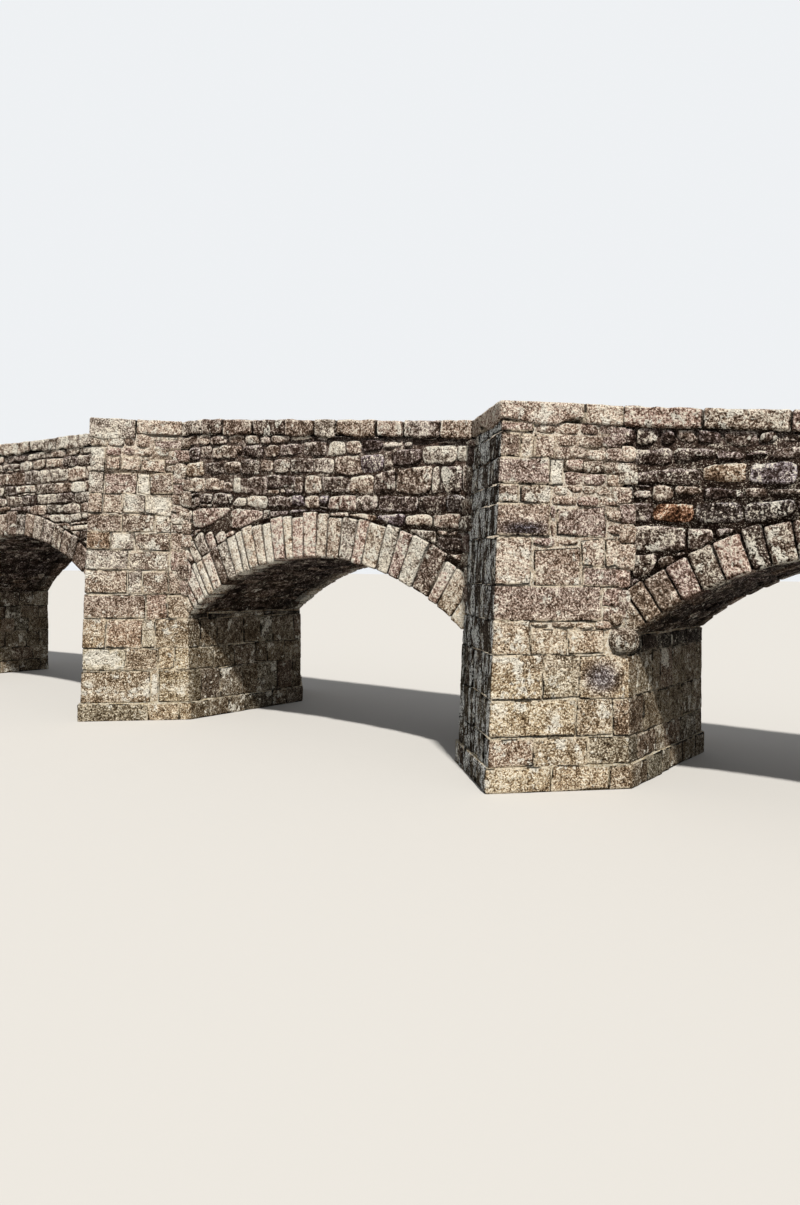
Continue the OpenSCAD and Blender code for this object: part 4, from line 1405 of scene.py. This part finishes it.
# How each bay is laid. The right one's stones are larger, rounder, and in deeper joints.
LAYING = {"left": {"lichen": 0.1, "height": (0.18, 0.26), "width": (0.28, 0.7)},
          "middle": {"lichen": -0.15, "height": (0.18, 0.26), "width": (0.28, 0.7),
                     "gap": 0.011, "foot": (0.004, 0.036)},
          "right": {"lichen": -0.35, "height": (0.24, 0.36), "width": (0.4, 0.95),
                    "gap": 0.011, "foot": (0.008, 0.045), "soft": 0.24, "bulge": 0.036}}
edges = (END["left"], *PIERS.values(), END["right"])
for word, side in SIDES.items():
    sign = -side
    for i, bay in enumerate(BAYS):
        u0, u1 = sorted((edges[i] * sign, edges[i + 1] * sign))
        rough_wall(FACADES[side], u0, u1, lambda u: foot_z(u * sign), lambda u: low_line(u * sign),
                   lambda c: wall_work(c[0] * sign, word), RUBBLE_MIX[bay],
                   SEEDS["walls"] + 10 * i + side, clip=facade_clip(side),
                   given=COURSES[bay] if side == FRONT else (), stations=STATIONS[bay],
                   spacing=0.05 if side == FRONT else 0.1, **LAYING[bay])
lay_fan()


# Inner faces of the parapets and refuges, one line from end to end.
def mouth_plan(p):
    """Plan of a front refuge's inside, seen from the middle of the pier."""
    return [(-p.mouth, -INNER), (-p.mouth, -FACE), (0, -FACE - p.inside), (p.mouth, -FACE),
            (p.mouth, -INNER)]


for word, side in SIDES.items():
    plan = [(END["left"], -INNER), *((p.x + x, y) for p in POINTS.values()
                                     for x, y in mouth_plan(p)), (END["right"], -INNER)]
    plan = plan[::-1] if side == FRONT else [(x, -y) for x, y in plan]
    for i in range(len(plan) - 1):
        part = Course(plan[i:i + 2])
        middle = part.place(part.length / 2, 0, 0)[0]
        near = [pier for pier, p in POINTS.items() if abs(middle - p.x) < p.mouth - 0.01]

        def along(u):
            return part.place(u, 0, 0)[..., 0]

        def owner(c):
            return WORK[f"refuge_{near[0]}_{word}"] if near else wall_work(along(c[0]), word)

        rough_wall(part, 0.0, part.length, lambda u: foot_z(along(u)),
                   lambda u: way_z(along(u)), owner, RUBBLE_MIX["middle"],
                   SEEDS["insides"] + 10 * i + (side == REAR), lichen=0.6, spacing=0.1)


# Flags on the refuges' floors, in rows this deep.
FLAG_DEPTH = 0.27


def refuge_floor(pier, word):
    p, side = POINTS[pier], SIDES[word]
    edge, rng = np.array(mouth_plan(p)), np.random.default_rng(SEEDS["floors"] + side)
    for y0 in np.arange(INNER, FACE + p.inside, FLAG_DEPTH):
        x0 = -p.mouth - rng.uniform(0, 0.2)
        while x0 < p.mouth:
            w, y1 = rng.uniform(0.28, 0.5), y0 + FLAG_DEPTH
            quad = np.array([(x0, -y1), (x0 + w, -y1), (x0 + w, -y0), (x0, -y0)])
            for a, b in zip(edge, edge[1:]):
                quad = within(quad, a, b)
            if len(quad) > 2:
                x, y = area_and_centre(quad)[1]
                work = (WORK[f"cutwater_{pier}_{word}"] if -y > FACE
                        else wall_work(p.x + x, word))
                if side == REAR:
                    quad = (quad * (1, -1))[::-1]
                boulder(work, Floor(lambda u: p.floor + 0 * u), quad + (p.x, 0), WAY_MIX,
                        soft=0.12, root=0.05, bulge=0.012, lichen=0.2)
            x0 += w


for pier in PIERS:
    for word in SIDES:
        refuge_floor(pier, word)


# Ends of the approach walls and of the fill.
for end, x in END.items():
    for y0, y1, node in ((-FACE, -INNER, f"approach_{end}_front"), (-INNER, INNER, "core_fill"),
                         (INNER, FACE, f"approach_{end}_rear")):
        part = straight(x, y0, x, y1) if end == "right" else straight(x, y1, x, y0)
        top = way_z(x) if node == "core_fill" else foot_z(x)
        rough_wall(part, 0.0, part.length, lambda u: top + 0 * u, lambda u: BED[end] + 0 * u,
                   lambda c: WORK[node], RUBBLE_MIX["middle"],
                   SEEDS["ends"] + (end == "right") + 2 * len(node), lichen=0.4, spacing=0.09)


# Materials.
class Nodes:
    """Short names for building a node material."""

    def __init__(self, name):
        self.material = bpy.data.materials.new(name)
        self.material.use_nodes = True
        self.tree = self.material.node_tree
        self.tree.nodes.clear()

    def node(self, kind, **values):
        n = self.tree.nodes.new("ShaderNode" + kind)
        for key, value in values.items():
            setattr(n, key, value)
        return n

    def set(self, socket, value):
        if hasattr(value, "is_output"):
            self.tree.links.new(value, socket)
        else:
            socket.default_value = value

    def attribute(self, name):
        return self.node("Attribute", attribute_name=name).outputs

    def parts(self, kind, source):
        """Outputs of a node that splits its one input."""
        n = self.node(kind)
        self.set(n.inputs[0], source)
        return n.outputs

    def maths(self, operation, *values):
        n = self.node("Math", operation=operation)
        for socket, value in zip(n.inputs, (*values, 0.0, 0.0)):
            self.set(socket, value)
        return n.outputs[0]

    def times(self, a, b):
        return self.maths("MULTIPLY", a, b)

    def scaled(self, a, by, plus):
        return self.maths("MULTIPLY_ADD", a, by, plus)

    def vector(self, operation, a, b):
        n = self.node("VectorMath", operation=operation)
        self.set(n.inputs[0], a)
        self.set(n.inputs[1], b)
        return n.outputs[0]

    def mix(self, factor, a, b):
        n = self.node("Mix", data_type="RGBA")
        for k, value in ((0, factor), (6, a), (7, (*b, 1.0))):
            self.set(n.inputs[k], value)
        return n.outputs[2]

    def valued(self, colour, by, share, plus):
        """A colour made lighter or darker by the factor by * share + plus."""
        n = self.node("HueSaturation")
        self.set(n.inputs["Color"], colour)
        self.set(n.inputs["Value"], self.scaled(by, share, plus))
        return n.outputs["Color"]

    def ramp(self, value, low, high):
        """0 below low, 1 above high, smooth between."""
        n = self.node("MapRange", interpolation_type="SMOOTHSTEP")
        for key, v in (("Value", value), ("From Min", low), ("From Max", high)):
            self.set(n.inputs[key], v)
        return n.outputs["Result"]

    def grain(self, where, scale, detail, roughness):
        """Noise as a score: 0 on average, and mostly between -2 and 2."""
        n = self.node("TexNoise")
        for key, value in (("Vector", where), ("Scale", scale), ("Detail", detail),
                           ("Roughness", roughness)):
            self.set(n.inputs[key], value)
        weights = roughness ** np.arange(detail + 1)
        spread = 0.105 * math.sqrt((weights ** 2).sum()) / weights.sum()
        return self.times(self.maths("SUBTRACT", n.outputs["Fac"], 0.5), 1 / spread)


def granite(name, size, lumpy, contrast, seam):
    """Weathered stone: a grain of dark and pale over each stone's own colour.

    size is how fine the grain is, lumpy how much of it is coarse and contrast how
    strong it all is; seam says how the edges towards the joints look: pale,
    dark, black or plain.
    """
    m = Nodes(name)
    times, scaled, ramp, grain = m.times, m.scaled, m.ramp, m.grain
    # Each stone has its own stretch of the pattern.
    where = m.vector("ADD", m.attribute("pattern")["Vector"], m.node("TexCoord").outputs["Object"])
    deep, grime = m.attribute("depth")["Fac"], m.attribute("grime")["Fac"]
    stone = m.attribute("stone")
    lichen, colour = stone["Alpha"], stone["Color"]
    fine, lump = grain(where, size, 3, 0.8), grain(where, 0.3 * size, 2, 0.6)
    patch = grain(where, 3.4, 3, 0.6)
    relief = scaled(lump, lumpy, times(fine, 0.9))
    edge = ramp(deep, 0.95, 0.3)
    # Painted highlight where the stone faces up, painted shade where it faces down.
    up = m.parts("SeparateXYZ", m.node("NewGeometry").outputs["Normal"])["Z"]
    tone = scaled(lichen, 0.25, scaled(patch, 0.20, times(relief, contrast)))
    tone = scaled(ramp(up, 0.1, 0.7), 1.7 * lumpy, tone)
    tone = scaled(ramp(up, -0.1, -0.6), -1.8 * lumpy, tone)
    if seam == "black":
        # A rim along the stone's rounded edge, paler than the middle of the stone.
        rim = times(times(ramp(deep, 0.99, 0.93), ramp(deep, 0.55, 0.8)), ramp(patch, -2.2, 0.8))
        tone = scaled(rim, 1.0, m.maths("ADD", tone, -0.12))
    # Darker means browner and paler means greyer.
    parts, whole = m.parts("SeparateColor", colour), m.node("CombineColor")
    for k, (share, most) in enumerate(((1.0, 0.86), (1.11, 0.80), (1.23, 0.68))):
        factor = m.maths("EXPONENT", times(tone, share))
        m.set(whole.inputs[k], m.maths("MINIMUM", times(parts[k], factor), most))
    # Painted shade, with some grime, darkens the faces that never get the sun.
    colour = m.valued(whole.outputs[0], grime, -0.95, 1.0)
    # Specks of pale lichen on the ridges.
    level = scaled(lichen, 0.9, scaled(patch, 0.35, relief))
    level = scaled(edge, -0.6, scaled(grime, -1.0, level))
    colour = m.mix(times(ramp(level, 1.55, 2.1), 0.85), colour, SPECKS)
    if seam != "plain":
        # Sheets and round spots of white lichen.
        level = scaled(lichen, 1.15, grain(where, 4.5, 5, 0.65))
        sheet = times(ramp(level, 2.25, 2.6), ramp(fine, -1.5, -0.6))
        spots = m.node("TexVoronoi")
        m.set(spots.inputs["Vector"], where)
        m.set(spots.inputs["Scale"], 11.0)
        rim = scaled(lump, 0.04, 0.26)
        spot = ramp(spots.outputs["Distance"], rim, m.maths("SUBTRACT", rim, 0.06))
        kinds = m.parts("SeparateColor", spots.outputs["Color"])
        chance = scaled(lichen, -0.15, 0.95)
        spot = times(spot, ramp(kinds[0], chance, m.maths("ADD", chance, 0.02)))
        pale = times(m.maths("MAXIMUM", sheet, spot), 0.85)
        colour = m.mix(pale, colour, LICHEN)
        # White streaks that run down the dark, sunless faces.
        long = m.vector("MULTIPLY", where, (1.0, 1.0, 0.4))
        streak = times(ramp(grain(long, 5.0, 5, 0.75), 0.30, 0.50), ramp(grime, 0.75, 0.85))
        colour = m.mix(times(streak, ramp(relief, -0.5, 0.2)), colour, STREAKS)
    if seam == "pale":
        # Mortar smeared over the arrises, with a painted black shadow line in the joint here and
        # there.
        smear = times(edge, ramp(m.maths("ADD", relief, patch), -1.3, 0.2))
        colour = m.mix(times(smear, scaled(grime, -0.9, 0.75)), colour, SMEARS)
        joint_shade = times(ramp(deep, 0.62, 0.4), ramp(patch, 0.5, -0.5))
        colour = m.valued(colour, joint_shade, -0.85, 1.0)
    # Painted shade in the joint: darker from and to these depths, and down to this share.
    low, high, least = {"pale": (0.0, 0.3, 0.15), "dark": (0.2, 0.6, 0.35)}.get(
        seam, (0.1, 0.7, 0.15))
    colour = m.valued(colour, ramp(deep, low, high), 1 - least, least)
    bump = m.node("Bump")
    for key, value in (("Strength", 1.0), ("Distance", 0.4 / size),
                       ("Height", scaled(fine, 0.35, lump))):
        m.set(bump.inputs[key], value)
    shader = m.node("BsdfPrincipled")
    for key, value in (("Base Color", colour), ("Normal", bump.outputs["Normal"]),
                       ("Roughness", scaled(fine, -0.05, 0.9)), ("Specular IOR Level", 0.03)):
        m.set(shader.inputs[key], value)
    m.set(m.node("OutputMaterial").inputs["Surface"], shader.outputs["BSDF"])
    return m.material


DRESSED_STONE = granite("dressed_granite", size=40.0, lumpy=0.30, contrast=0.80, seam="pale")
VOUSSOIR = granite("voussoir_granite", size=36.0, lumpy=0.45, contrast=0.78, seam="dark")
ROUGH_STONE = granite("rough_granite", size=36.0, lumpy=0.50, contrast=0.84, seam="black")
MORTAR = granite("lime_mortar", size=50.0, lumpy=0.40, contrast=0.50, seam="plain")
STONE_OF = {**dict.fromkeys(DRESSED, DRESSED_STONE), "ring": VOUSSOIR}
for work in WORK.values():
    work.build()


# Floor, light and camera.
mesh = bpy.data.meshes.new("floor")
mesh.from_pydata([(x * FLOOR_SIZE, y * FLOOR_SIZE, 0)
                  for x, y in ((-1, -1), (1, -1), (1, 1), (-1, 1))], [], [(0, 1, 2, 3)])
material = bpy.data.materials.new("pale_floor")
material.use_nodes = True
shader = material.node_tree.nodes["Principled BSDF"]
for key, value in (("Base Color", FLOOR_COLOUR), ("Roughness", 0.95), ("Specular IOR Level", 0.1)):
    shader.inputs[key].default_value = value
mesh.materials.append(material)
put("floor", mesh)

# The sun, then the sky: one light on the bridge, another colour to the camera.
lamp = bpy.data.lights.new("sun", "SUN")
lamp.energy, lamp.angle, lamp.color = SUN_STRENGTH, SUN_SPREAD, SUN_COLOUR
put("sun", lamp).rotation_euler = Vector(SUN_FROM).to_track_quat("Z", "Y").to_euler()

world = bpy.data.worlds.new("sky")
world.use_nodes = True
nodes, links = world.node_tree.nodes, world.node_tree.links
back, seen = nodes["Background"], nodes.new("ShaderNodeBackground")
back.inputs["Color"].default_value = SKY_LIGHT
back.inputs["Strength"].default_value = SKY_STRENGTH
seen.inputs["Color"].default_value = SKY_SEEN
path, mix = nodes.new("ShaderNodeLightPath"), nodes.new("ShaderNodeMixShader")
for source, target in ((path.outputs["Is Camera Ray"], mix.inputs[0]),
                       (back.outputs[0], mix.inputs[1]), (seen.outputs[0], mix.inputs[2]),
                       (mix.outputs[0], nodes["World Output"].inputs["Surface"])):
    links.new(source, target)
bpy.context.scene.world = world

data = bpy.data.cameras.new("camera")
data.lens, data.sensor_width, data.sensor_fit = CAMERA_LENS, CAMERA_SENSOR, "AUTO"
data.clip_end = 2.5 * FLOOR_SIZE
yaw, pitch, roll = (math.radians(v) for v in (CAMERA_YAW, CAMERA_PITCH, CAMERA_ROLL))
ahead = Vector((math.sin(yaw) * math.cos(pitch), math.cos(yaw) * math.cos(pitch),
                math.sin(pitch)))
level = Vector((math.cos(yaw), -math.sin(yaw), 0))
up = level.cross(ahead)
right = level * math.cos(roll) + up * math.sin(roll)
up = up * math.cos(roll) - level * math.sin(roll)
camera = put("camera", data)
camera.matrix_world = (Matrix.Translation(CAMERA_AT)
                       @ Matrix((right, up, -ahead)).transposed().to_4x4())
bpy.context.scene.camera = camera
bpy.context.scene.view_settings.view_transform = "Standard"

bpy.context.view_layer.update()
